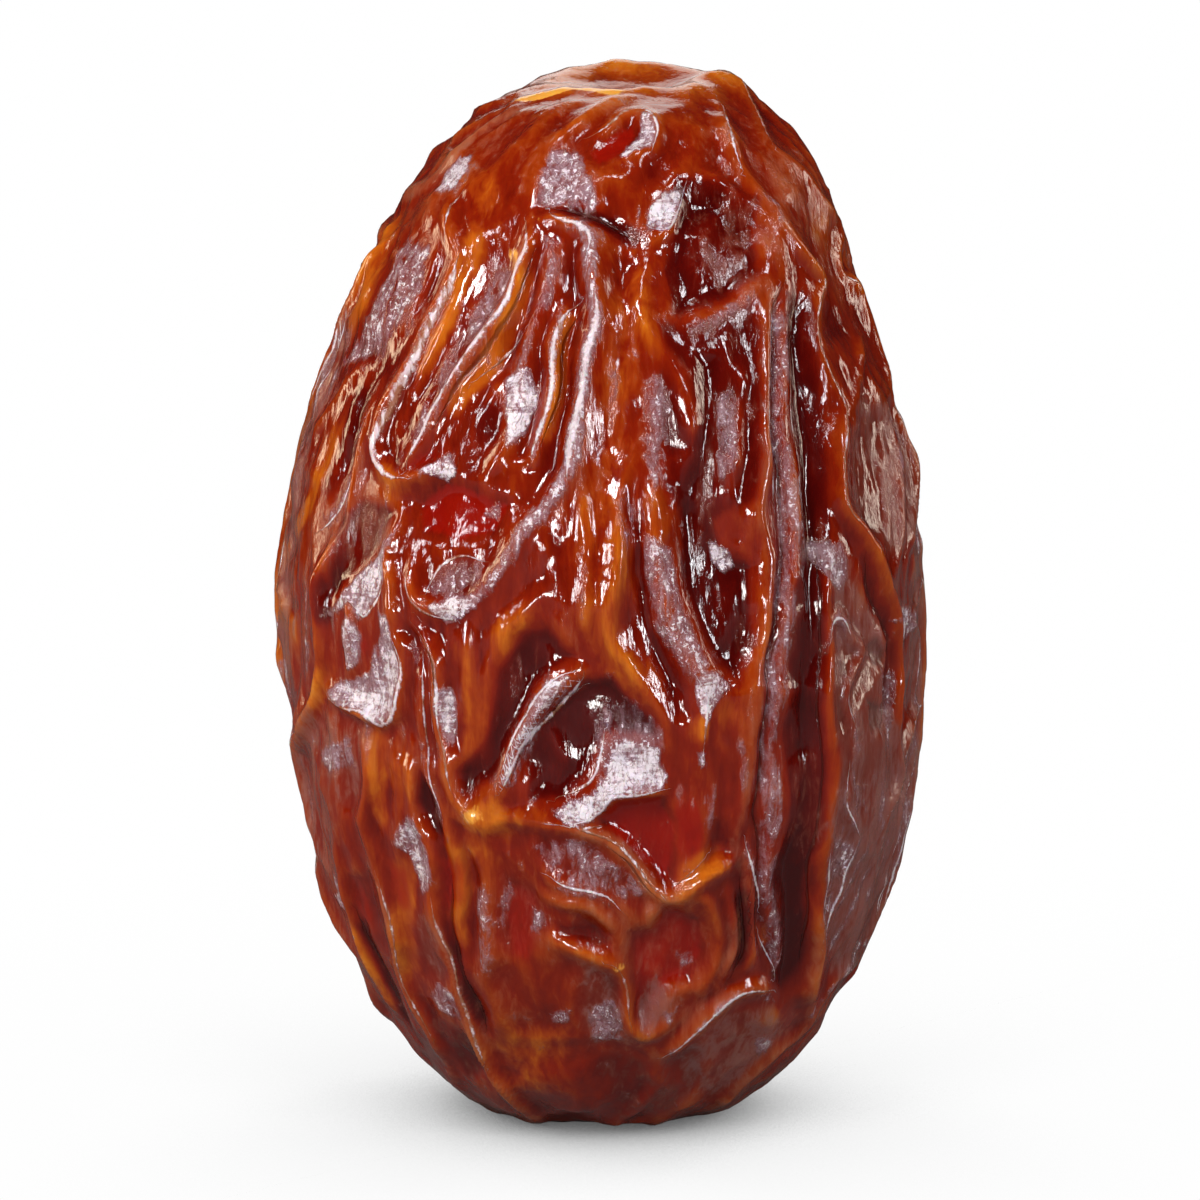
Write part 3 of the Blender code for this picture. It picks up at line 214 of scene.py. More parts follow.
# Sunk creases: depth, half width on the left and on the right going down, and the line
CREASES = (
    (0.4, 0.35, 0.35, (8.2, 39, 7.8, 37.5, 7.75, 35, 7.75, 32.5, 8, 30.3, 8.2, 28.3, 8.2, 26,
        8.1, 24.5, 7.9, 22.5) + SEAM_FOOT),
    (0.7, 0.9, 1.1, (8.9, 39, 9.1, 36, 9.3, 33, 9.65, 30, 9.8, 27.5, 9.55, 25, 9.45, 22.5, 9.35, 20,
        9.25, 17.5, 9.2, 15, 9.1, 13, 8.7, 11, 8.7, 9, 8.8, 7, 8.4, 5.4)),
    (0.5, 0.5, 0.7, (-4.4, 40.6, -5, 38.6, -6.3, 36.4, -7.6, 34, -8.5, 32.2)),
    (0.45, 0.4, 0.5, (-3.3, 40.2, -3.8, 38, -4.8, 35.7, -6, 33.4, -7, 31.6)),
    (0.35, 0.4, 0.4, (-1.5, 40.6, -1.6, 38.4, -1.8, 36, -2, 33.5, -2.3, 31.4)),
    (0.5, 0.45, 0.45, CROWN_CREASE),
    (0.5, 0.5, 0.5, (-10.6, 35, -11.4, 33.4, -12.2, 31, -12.8, 29)),
    (0.45, 0.45, 0.35, (-1, 20.1, -2.4, 19, -3.1, 18, -3.9, 16.5, -4.4, 15.3)),
    (0.5, 0.45, 0.5, (1.3, 30, 1.4, 26, 1.8, 24.4, 2.1, 22.8, 2.6, 21.4, 3.3, 20.2, 3.6, 19)),
    (0.5, 0.45, 0.45, (6.5, 11, 6.5, 9, 6.4, 7.3, 5.9, 6.2)),
    (0.5, 0.5, 0.5, (-7.5, 11, -7.2, 9, -6.9, 7.4, -6.5, 6.2, -6.1, 5, -5.7, 3.9)),
    (0.4, 0.4, 0.4, (-6.5, 12, -6.35, 10, -6.2, 8.4, -6, 7.2)),
    (0.5, 0.6, 0.6, LEFT_FOOT_CREASE),
    (0.45, 0.5, 0.5, RIM_CREASE),
    (0.45, 0.4, 0.5, (-9.8, 22.8, -9, 22.4, -8.7, 21)),
    (0.35, 0.4, 0.4, (-10.9, 14.5, -10.8, 13.3, -10.4, 12)),
)

# Hollows between the folds: depth, width of the sloping edge, and the outline
HOLLOWS = (
    (0.8, 1.2, (3.6, 43.6, 5.5, 43.2, 6.8, 41.3, 7, 39.6, 5.5, 38.4, 3.6, 37.8, 2.8, 39.6, 3.4, 41.6)),
    (0.45, 0.8, (-0.9, 45.1, 0.2, 46, 1.2, 46.7, 1.9, 46.2, 1.1, 45.3, -0.2, 44.6)),
    (0.5, 0.9, (0.5, 41, 1.3, 40, 1.1, 37.5, 0.9, 34.5, 0.3, 31.5, -0.6, 31, 0, 34.5, 0.3, 38)),
    (0.8, 1.0, (4.3, 35.6, 5.2, 35.5, 5, 32, 5, 29, 5.6, 26.5, 6.8, 25.8, 7, 22, 6.3, 20.3, 5.3, 21,
        4.5, 22.6, 3.9, 24.4, 3.6, 28, 4.3, 31.5)),
    (0.7, 1.0, (-8.9, 28.7, -7.6, 29.6, -6.2, 29.4, -4.4, 28.6, -5.2, 27.3, -7.2, 27, -8.6, 27.4)),
    (0.6, 1.0, (-12.6, 28, -11.4, 28.8, -10.1, 28.2, -11.2, 25.8, -12.3, 24.7, -13, 24.5)),
    (0.6, 1.0, (12, 34, 12.8, 32.8, 13.1, 30, 13.2, 27, 12.4, 27, 11.9, 28.8, 11.7, 31.5)),
    (0.4, 1.0, (9.4, 42.8, 10.2, 42, 11.3, 40.3, 11.8, 38, 11.6, 36.5, 10.6, 36.5, 10.6, 38.7,
        9.7, 40.5)),
    (0.9, 1.1, (-0.8, 20.2, 0.3, 20.4, 1.8, 18.8, 2.2, 17.9, 0, 17.8, -1, 16, -2.2, 14.8, -3.6, 15,
        -3.6, 16.6, -2.6, 18.6)),
    (0.8, 1.1, LONG_BOWL),
    (1.0, 0.9, (-0.4, 13.9, 0.6, 14.6, 2.6, 14.8, 3, 13.5, 3.2, 11.7, 3, 10.9, 1.9, 11.7, 0.3, 13)),
    (0.6, 0.7, LEFT_SLIT),
    (0.25, 0.6, SMALL_TROUGH),
    (1.0, 1.0, LOW_BOWL),
    (0.45, 0.6, (7.3, 9.2, 7.8, 8.6, 8, 7.6, 7.8, 7, 7.4, 7.6, 7.3, 8.4)),
    (0.4, 1.0, LEFT_BOWL),
    (0.4, 1.0, (-8.8, 5.2, -7.5, 4.6, -6.5, 3.6, -5.4, 2.2, -6.2, 1.6, -7.8, 3.2)),
    (0.4, 0.9, (4.9, 13.6, 5.8, 13.6, 5.8, 11.9, 4.9, 11.4, 4.7, 12.4)),
    (0.5, 0.5, RIGHT_PIT),
    (0.5, 0.7, (12.2, 19.4, 13.2, 19.2, 13, 18.2, 12.3, 18)),
    (0.5, 0.8, (-11.9, 11, -11, 11, -10.7, 9, -11.3, 8.4, -11.8, 9.4)),
)

# The hidden sides carry the same kind of folds: the front layout again, turned to this angle,
# mirrored across and, on one side, upside down
REAR_SHEETS = ((math.radians(133), -1, False), (math.radians(-133), 1, True))
FRONT_SHEET_REACH = (math.radians(84), math.radians(100))
REAR_SHEET_REACH = (math.radians(50), math.radians(66))
REAR_SHEET_TOP = (40.0, 46.0)
REAR_SHEET_FOOT = (3.0, 7.0)
REAR_WARP = 1.4
REAR_WARP_GRAIN = 0.11

# Near its ends the fruit counts as no narrower than this for a shift round it and for a reach
POLE_RADIUS = 2.0
POLE_REACH_RADIUS = 0.5

# Pleats that run into the crown and the foot, lower where the layout has folds of its own
PLEATS = 12
PLEAT_HEIGHT = 0.45
PLEAT_CREST = 2.5
FRONT_PLEAT_SHARE = 0.35
CROWN_PLEAT_LEVELS = (36.0, 43.0)
CROWN_PLEAT_RADII = (4.5, 7.0)
FOOT_PLEAT_LEVELS = (2.0, 10.0)
PLEAT_BEND = 1.0
PLEAT_BEND_GRAIN = 0.13

# Soft unevenness under the folds
SWELL_HEIGHT = 0.35
SWELL_GRAIN = 0.16

# A fold is a broad soft ridge with a narrow lip along its crest. These shares of the stated heights
# and depths, and these widths, hold for every drawn line and outline
FOLD_SHARE = 0.8
FOLD_SPREAD = 1.35
LIP_SHARE = 0.32
LIP_WIDTH = 0.32
CREASE_SHARE = 0.5
HOLLOW_SHARE = 0.4

# Shallow dents that meet in sharp ridges, as in skin that has dried and crumpled: depth, size
# across and size along the fruit, and for all dents how far and how finely they bend, how steeply
# a bowl rises from its lowest point up to a ridge, and how much of that lies below the skin
DENTS = ((0.3, 4.2, 9.0),)
DENT_BEND = 0.45
DENT_BEND_GRAIN = 0.3
DENT_STEEPNESS = 2.2
DENT_RIDGE = 1.4
DENT_MIDDLE = 0.5

# On a fold as high as this the dents are weaker by this share
DENT_CALM_HEIGHT = 0.6
DENT_CALM = 0.6

# The folds wander off their drawn lines by about this length, and off their height by this share
LINE_WANDER = 0.3
LINE_WANDER_GRAIN = 0.4
FOLD_WANDER = 0.5
FOLD_WANDER_GRAIN = 0.35

# How sharply the higher of two folds wins where they meet, how a fold fades to part of its height
# at its ends, and the steps between two given points of a line
JOIN_SHARPNESS = 3.5
END_FADE = 1.4
END_HEIGHT = 0.45
CURVE_STEPS = 3

# The flat spot stays clean of folds out to the first radius
REST_RADII = (3.2, 6.5)

# Fine dents and wrinkles that only the skin has. Dents: depth, size across and size along the
# fruit. Wrinkles: height, grain across and grain along the fruit, and for all of them how fast
# they fall off from a crest and the floor between crests, as a share of the height
FINE_DENTS = ((0.05, 1.8, 3.8), (0.035, 0.85, 1.6))
WRINKLES = ((0.07, 0.5, 0.2), (0.035, 1.0, 0.42), (0.015, 1.7, 1.0))
WRINKLE_CREST = 2.2
WRINKLE_FLOOR = -0.2

# Wrinkles come in drifts: their middle strength, how far it sways, its limits and its grain
DRIFT_MIDDLE = 0.55
DRIFT_SWAY = 0.9
DRIFT_LIMITS = (0.15, 1.2)
DRIFT_GRAIN = 0.22

# A hollow as deep as this is taut, and calms the fine relief by this share
TAUT_DEPTH = 0.9
TAUT_CALM = 0.5

# Each noise of the relief starts at a place of its own, and each layer of dents a step further on
SWELL_SHIFT = 1.0
PLEAT_SHIFT = 2.0
SCAR_SHIFT = 3.0
REAR_SHIFTS = (4.0, 9.0)
FOLD_SHIFT = 6.0
DRIFT_SHIFT = 17.0
WRINKLE_SHIFT = 20.0
LINE_SHIFTS = (21.0, 27.0)
DENT_SHIFT = 31.0
FINE_DENT_SHIFT = 57.0
DENT_SHIFT_STEP = 9.0
DENT_BEND_SHIFTS = (1, 4, 7)

# A crest stands above the relief evened out over this many steps, and this height is a full one
CREST_STEPS = 40
CREST_HEIGHT = 0.3

# Steps up the form, cuts across each face of the ball, and a length too small to matter
FORM_SAMPLES = 4001
CUBE_CUTS = 128
TINY = 1e-9

# Skin colours laid over the folds; the bloom carries painted reflections, the umber a painted sheen,
# and two amber strokes along the outline a painted rim light. Strokes: strength, half width and a
# line. Patches: strength, width of the soft edge and an outline
STROKES = {
    "amber": (
        (0.9, 1.3, (-9.6, 43.4, -10.8, 40, -11.6, 38, -12.4, 36.8)),
        (0.8, 0.6, LEFT_PLEAT),
        (0.9, 0.45, (-3.5, 40, -4, 38.2, -4.6, 37, -5.5, 35.3, -6.5, 33.8, -7.5, 32.6)),
        (0.85, 0.35, (-1.7, 38.2, -2, 36, -2.3, 34, -2.5, 32.5, -2.9, 31.5)),
        (0.6, 1.0, (-7, 23.4, -6.6, 21, -6.3, 19, -6.2, 17, -6.3, 15.5)),
        (0.9, 1.0, (-6.9, 14.1, -6, 13.6, -4.7, 13.8, -3.3, 13.8)),
        (0.75, 0.9, (-6.3, 13.6, -5.9, 12.4, -5.8, 11)),
        (0.45, 0.6, MIDDLE_RIDGE),
        (0.5, 0.6, (6.2, 34.4, 6.1, 31.5, 6, 28.4)),
        (0.5, 1.1, (0.8, 31, 0.6, 27, 0.4, 25, 0.2, 23.5, 0.5, 22, 1.2, 20.9, 2.1, 19.7, 2.7, 18.6)),
        (1.0, 0.45, (4.5, 19.2, 4.5, 17.2)),
        (0.9, 0.7, (3.4, 10.8, 4.2, 11.5, 5, 11.9, 6.2, 12)),
        (0.5, 0.8, (-9.6, 18.4, -9.6, 16, -9.4, 14)),
        (0.85, 0.7, (-9.5, 12.4, -9.5, 10, -9.5, 8, -9.3, 6.6, -8.7, 5.7)),
        (0.8, 0.55, (-10.6, 18.4, -10.6, 15.5, -10.5, 13.2)),
        (0.8, 0.55, (-7, 13, -6.9, 11, -6.9, 9, -6.5, 7.4)),
        (0.7, 1.1, (-15.2, 26, -15.1, 24, -14.8, 22, -14.7, 20.6)),
        (0.75, 0.7, (-13.2, 21.8, -13.2, 20.5, -13.6, 19.3, -13.1, 18.7)),
        (0.6, 0.9, (13.2, 37.4, 14, 34.5, 14.5, 32)),
        (0.7, 0.6, (14.9, 25, 15.2, 22, 15.1, 19, 14.8, 16, 14.2, 13.4, 13.6, 11.6)),
        (0.6, 0.9, (11.1, 24.4, 12, 24.1, 12.6, 23)),
        (0.7, 0.6, (6.8, 4.7, 7.6, 4.5, 8.2, 4.2)),
        (0.5, 0.9, (-9.4, 44, -8.2, 45.2, -6.8, 46.3, -5.4, 47)),
        (0.55, 0.7, (5.3, 20, 5.8, 18.6, 6, 17.6)),
        (0.85, 0.6, (-12.3, 33, -12.7, 32, -13.2, 30.5, -13.7, 29, -14.3, 27.8, -15, 26)),
        (0.7, 0.5, (-11.9, 9.2, -11.5, 8, -11, 6.6, -10.5, 5.5, -10, 4.4)),
        (0.6, 0.9, (-10.6, 31.4, -10, 29.4, -8.6, 28.9)),
        (0.5, 1.0, (9.2, 42.6, 10.6, 41.2, 11.6, 39.4, 12.2, 37.4)),
        (0.9, 0.35, (7.4, 9.1, 7.45, 8.2, 7.7, 7.5)),
        (0.6, 0.8, (-3, 24.5, -4, 23.4, -4.9, 22.3, -5.4, 20.6)),
        (0.6, 0.8, (-13.4, 14.4, -13.3, 13, -13, 11.2)),
        (0.5, 0.8, (-6.2, 44, -5.4, 43, -5.1, 41.8)),
        # The last two strokes run along the outline: painted rim light, as if light shone through the
        # skin at its edges
        (1.0, 1.2, (-12.9, 37, -13.9, 34.5, -14.6, 32, -15.2, 29, -15.6, 26, -15.5, 23, -15.2, 20,
            -14.9, 17, -14.3, 13, -13.4, 9.6, -12, 6.6)),
        (0.7, 1.0, (11.4, 41.2, 12.6, 38, 13.7, 35, 14.5, 31.5, 15, 28, 15.3, 24, 15.2, 19, 14.9, 15,
            14, 11, 12.6, 7.6, 10.4, 4)),
    ),
    "gold": (
        (1.0, 0.4, (-4.3, 47.7, -3, 48.05, -1.5, 48.4, -0.5, 48.35, 1, 48.05)),
        (0.8, 0.5, (-3.5, 42.2, -3.1, 41.9)),
        (0.8, 0.4, (0.1, 7.1, 0.45, 7, 0.7, 6.5)),
        (0.5, 0.35, (-4.6, 41, -4.3, 40, -4.5, 39)),
        (0.5, 0.5, (-6.9, 14.3, -6.3, 13.9, -5.7, 14.1, -5.3, 14.6)),
    ),
    "tan": (
        (0.85, 0.55, (-3, 47.5, -4.5, 47.1, -6, 46.1, -7, 45, -8, 44, -9, 43.3, -10.2, 42.7,
            -10.7, 42.1)),
        (0.55, 0.45, (8, 39, 7.5, 37.5, 7.4, 35, 7.4, 32, 7.3, 30, 7.1, 28.3, 7.5, 26.5, 7.7, 25,
            7.6, 23, 7.3, 21, 7, 19, 6.8, 17, 6.6, 15.2, 6.2, 13.6, 6.1, 12.4, 6.8, 11.2, 6.85, 9.8,
            6.8, 8.2, 6.6, 6.8)),
        (0.75, 0.4, (-2.5, 13.6, -1.2, 13.3, 0, 12.8, 1, 12, 1.8, 11.2, 2.5, 10.4, 3.1, 10.1, 2.4, 9.6,
            2.1, 9)),
        (0.7, 0.3, (-8.2, 10) + MIDDLE_FOOT_ARC),
        (0.7, 0.35, LEFT_FOOT_ARC),
        (0.7, 0.35, RIGHT_FOOT_ARC),
        (0.7, 0.4, (9.3, 4.3, 9.4, 5.4, 9.6, 6.6, 9.9, 8, 10.1, 9)),
        (0.6, 0.3, RIGHT_EDGE_FOLD),
        (0.6, 0.35, (13.7, 25.5, 13.6, 24.4, 13.4, 23.4)),
        (0.7, 0.6, (6.1, 10.2, 6, 9, 6, 8, 5.7, 7, 5.3, 5.9)),
        (0.6, 0.35, LOW_LIP),
        (0.5, 0.35, (-3.2, 0.6, -4, 0.9, -4.9, 1.7)),
        (0.6, 0.7, (5.8, 4.4, 6.2, 3.4, 6.2, 2.4)),
        (0.6, 0.4, (9.1, 42, 10, 41.3, 10.7, 40.7, 11.5, 40)),
        (0.4, 0.8, (-14.2, 33, -14.8, 30, -15.1, 27, -15.2, 23, -14.9, 20)),
        (0.55, 0.8, (-14.4, 16.6, -13.8, 13, -12.9, 10, -11.4, 7.2)),
        (0.75, 0.9, (12.2, 38, 13.2, 35, 14, 31.5, 14.7, 27.5, 15, 23, 14.9, 18, 14.4, 14, 13.3, 10.4,
            11.8, 7.4)),
        (0.6, 0.7, (4, 0.9, 5.6, 2, 6.6, 2.9, 7.4, 4)),
    ),
    # Bloom strokes: partly the skin's loose pale bloom, partly painted reflections of the lights
    "bloom": (
        (0.26, 0.26, LEFT_HOOK),
        (0.53, 0.3, (-2.9, 41.6, -2.4, 40, -2.7, 38.6, -3.2, 37.5, -3.7, 36.2, -4.1, 34.8)),
        (0.4, 0.21, (-2.1, 38, -2.4, 36, -2.6, 34, -3, 32, -3.6, 30.8)),
        (0.7, 0.38, (-2, 41.7, -1.1, 41.2, -0.7, 40, -0.6, 38.4) + TALL_FOLD_FOOT + (-7.2, 23.9)),
        (0.4, 0.22, (-3.5, 41.6, -3.7, 40.4, -4.3, 39.2, -5.2, 37.2, -6.6, 35, -8, 32.8, -8.9, 31)),
        (0.37, 0.26, (-9.9, 37.6, -10.6, 35.6, -11.6, 34.8)),
        (0.43, 0.3, (-10.8, 32.8, -11.4, 31.4, -11.9, 30.4, -12.5, 28.9, -13.4, 27.6)),
        (0.5, 0.58, (8.3, 38.2, 8.15, 36, 8.1, 33, 8.3, 30, 8.5, 27.5, 8.3, 25, 8.2, 23, 8, 21,
            7.8, 19, 7.6, 17, 7.7, 15, 7.8, 13, 7.6, 11, 7.7, 9.5, 8.1, 8, 8.2, 6.4)),
        (0.53, 0.22, (-1.1, 20.35, -1.7, 19.8, -2.5, 19.2, -3, 18.6, -3.5, 17.7, -4.1, 16.4,
            -4.6, 15.2)),
        (0.5, 0.26, (-2.6, 11.2, -2, 10.8, -1, 10.5, 0.2, 10, 0.6, 9.6)),
        (0.46, 0.41, (-5.9, 10.8, -5.7, 9, -5.6, 7.6, -5.3, 6.2)),
        (0.4, 0.26, (-11, 11.4, -10.7, 10, -10.2, 8.3)),
        (0.5, 0.26, (10.2, 12.5, 10.3, 11, 10.15, 9.6)),
        (0.46, 0.15, (11.6, 13, 11.1, 11.5, 10.9, 10.5, 10.5, 9.3, 10.1, 8.1)),
        (0.5, 0.21, FOOT_LOOP + (7, 5.8)),
        (0.43, 0.26, (6.5, 12.7, 6.8, 11.8, 7.2, 10.7)),
        (0.46, 0.19, (7.3, 8.4, 7.4, 7.9, 7.7, 7.3, 8.1, 6.5)),
        (0.43, 0.26, (10.2, 22, 10.5, 23, 11.1, 23.2, 11.5, 22.5)),
        (0.37, 0.26, (11.4, 20.4, 11.3, 19.4, 11.5, 18.2)),
        (0.37, 0.22, (11, 16.2, 10.9, 15, 11, 14.2, 11.5, 13.2)),
        (0.37, 0.19, (12.2, 16.2, 12.35, 15.4)),
        (0.37, 0.3, (11.4, 32, 11.5, 30.6, 12, 29)),
        (0.37, 0.3, (7, 43.6, 7.6, 42.7, 8.2, 41.5)),
        (0.34, 0.22, (5.3, 46.8, 6.1, 44.9, 6.5, 44.1)),
        (0.34, 0.26, (3.2, 36.5, 4.8, 37.3, 6, 38.1, 7.1, 38.8)),
        (0.37, 0.22, (6.1, 17.6, 6.3, 16.4, 6.2, 15.2, 6.2, 14.5)),
        (0.34, 0.3, (4.9, 15.4, 4.7, 14, 4.5, 12.8)),
        (0.37, 0.22, (12.9, 14, 12.9, 12.2)),
        (0.37, 0.3, (14.2, 20.3, 14.2, 18.6, 14.1, 17.2)),
        (0.34, 0.3, (-14.6, 18.6, -14.5, 17.2)),
        (0.34, 0.26, (-8.9, 22, -8.7, 20, -8.7, 18, -8.4, 16.4, -8, 15, -7.8, 13.8)),
        (0.55, 0.25, (12.6, 12, 11.9, 10.5, 11.1, 8.9, 10.1, 7.2)),
        (0.5, 0.25, (13.6, 14.1, 13.3, 12.7, 12.9, 11.3, 12, 9.7)),
        (0.5, 0.3, (12.1, 16, 11.6, 14.8, 11.3, 13.7)),
        (0.45, 0.25, (14.8, 17.7, 14.6, 15.5, 14.3, 13.3)),
        (0.4, 0.3, (9.6, 3.9, 8.8, 3, 7.8, 2.3)),
        (0.5, 0.22, (11, 16.8, 11.3, 15.4, 12.1, 14.1)),
        (0.5, 0.4, (10.8, 13.4, 10.5, 11.4, 10.2, 8.8)),
        (0.5, 0.22, (12.3, 12.9, 11.5, 11.2, 10.9, 9.5)),
        (0.6, 0.24, (13, 9.2, 11.8, 7.6, 10.3, 5.9, 9.1, 4.3)),
        (0.45, 0.28, (13.7, 21, 13.4, 18.6, 12.9, 15.6, 12.7, 13.4)),
        (0.4, 0.5, (11.2, 19.6, 11.2, 18, 11.4, 16.6)),
        (0.45, 0.3, (-12.9, 11.5, -12.3, 9.6, -11.5, 7.8)),
        (0.45, 0.3, (-14.2, 24.8, -14.2, 22.6, -14.4, 20.6)),
        (0.4, 0.35, (-4.4, 11.4, -4.9, 9.6, -4.9, 7.4)),
        (0.31, 0.22, (13.1, 33, 13.5, 31.4, 13.7, 29.6)),
    ),
    "red": (
        (0.8, 0.7, (-11.3, 22.9, -11.3, 21.2)),
        (0.8, 0.6, (3.5, 15, 3.8, 13.4, 3.7, 11.6)),
        (0.7, 0.5, (-9.9, 12, -9.7, 10.6, -9.5, 9)),
        (0.7, 0.6, (-7.2, 12.4, -7.2, 10.6, -7.1, 9)),
    ),
    "wine": (
        (1.0, 1.0, (8.9, 39, 9.1, 36, 9.4, 33, 9.75, 30, 9.9, 27.8, 9.5, 25, 9.4, 22.5, 9.3, 20,
            9.2, 17.5, 9.2, 15, 9.1, 13, 8.6, 11, 8.6, 9, 8.7, 7, 8.3, 5.4)),
        (0.8, 0.6, (4.1, 34, 4.3, 31, 4.2, 28, 4.4, 24.4)),
        (0.7, 0.6, (-11.2, 34.5, -11.8, 33, -12.3, 31.5, -12.8, 30, -13.3, 28.7)),
        (0.8, 0.4, CROWN_CREASE),
        (0.7, 0.35, (-7.2, 9.4, -6.9, 7.4, -6.5, 6.2, -6.1, 5, -5.7, 4)),
        (0.8, 0.6, (-11.6, 9.3, -11, 7.4, -10.4, 6, -9.8, 4.6, -9, 3.2)),
        (0.7, 0.5, (-13.15, 26, -13.2, 24, -13.1, 22.6)),
        (0.7, 0.45, (6.5, 11, 6.5, 9, 6.4, 7.4, 6, 6.3)),
        (0.6, 0.6, (-5.8, 33.8, -5.6, 32.4, -5.9, 31)),
    ),
}
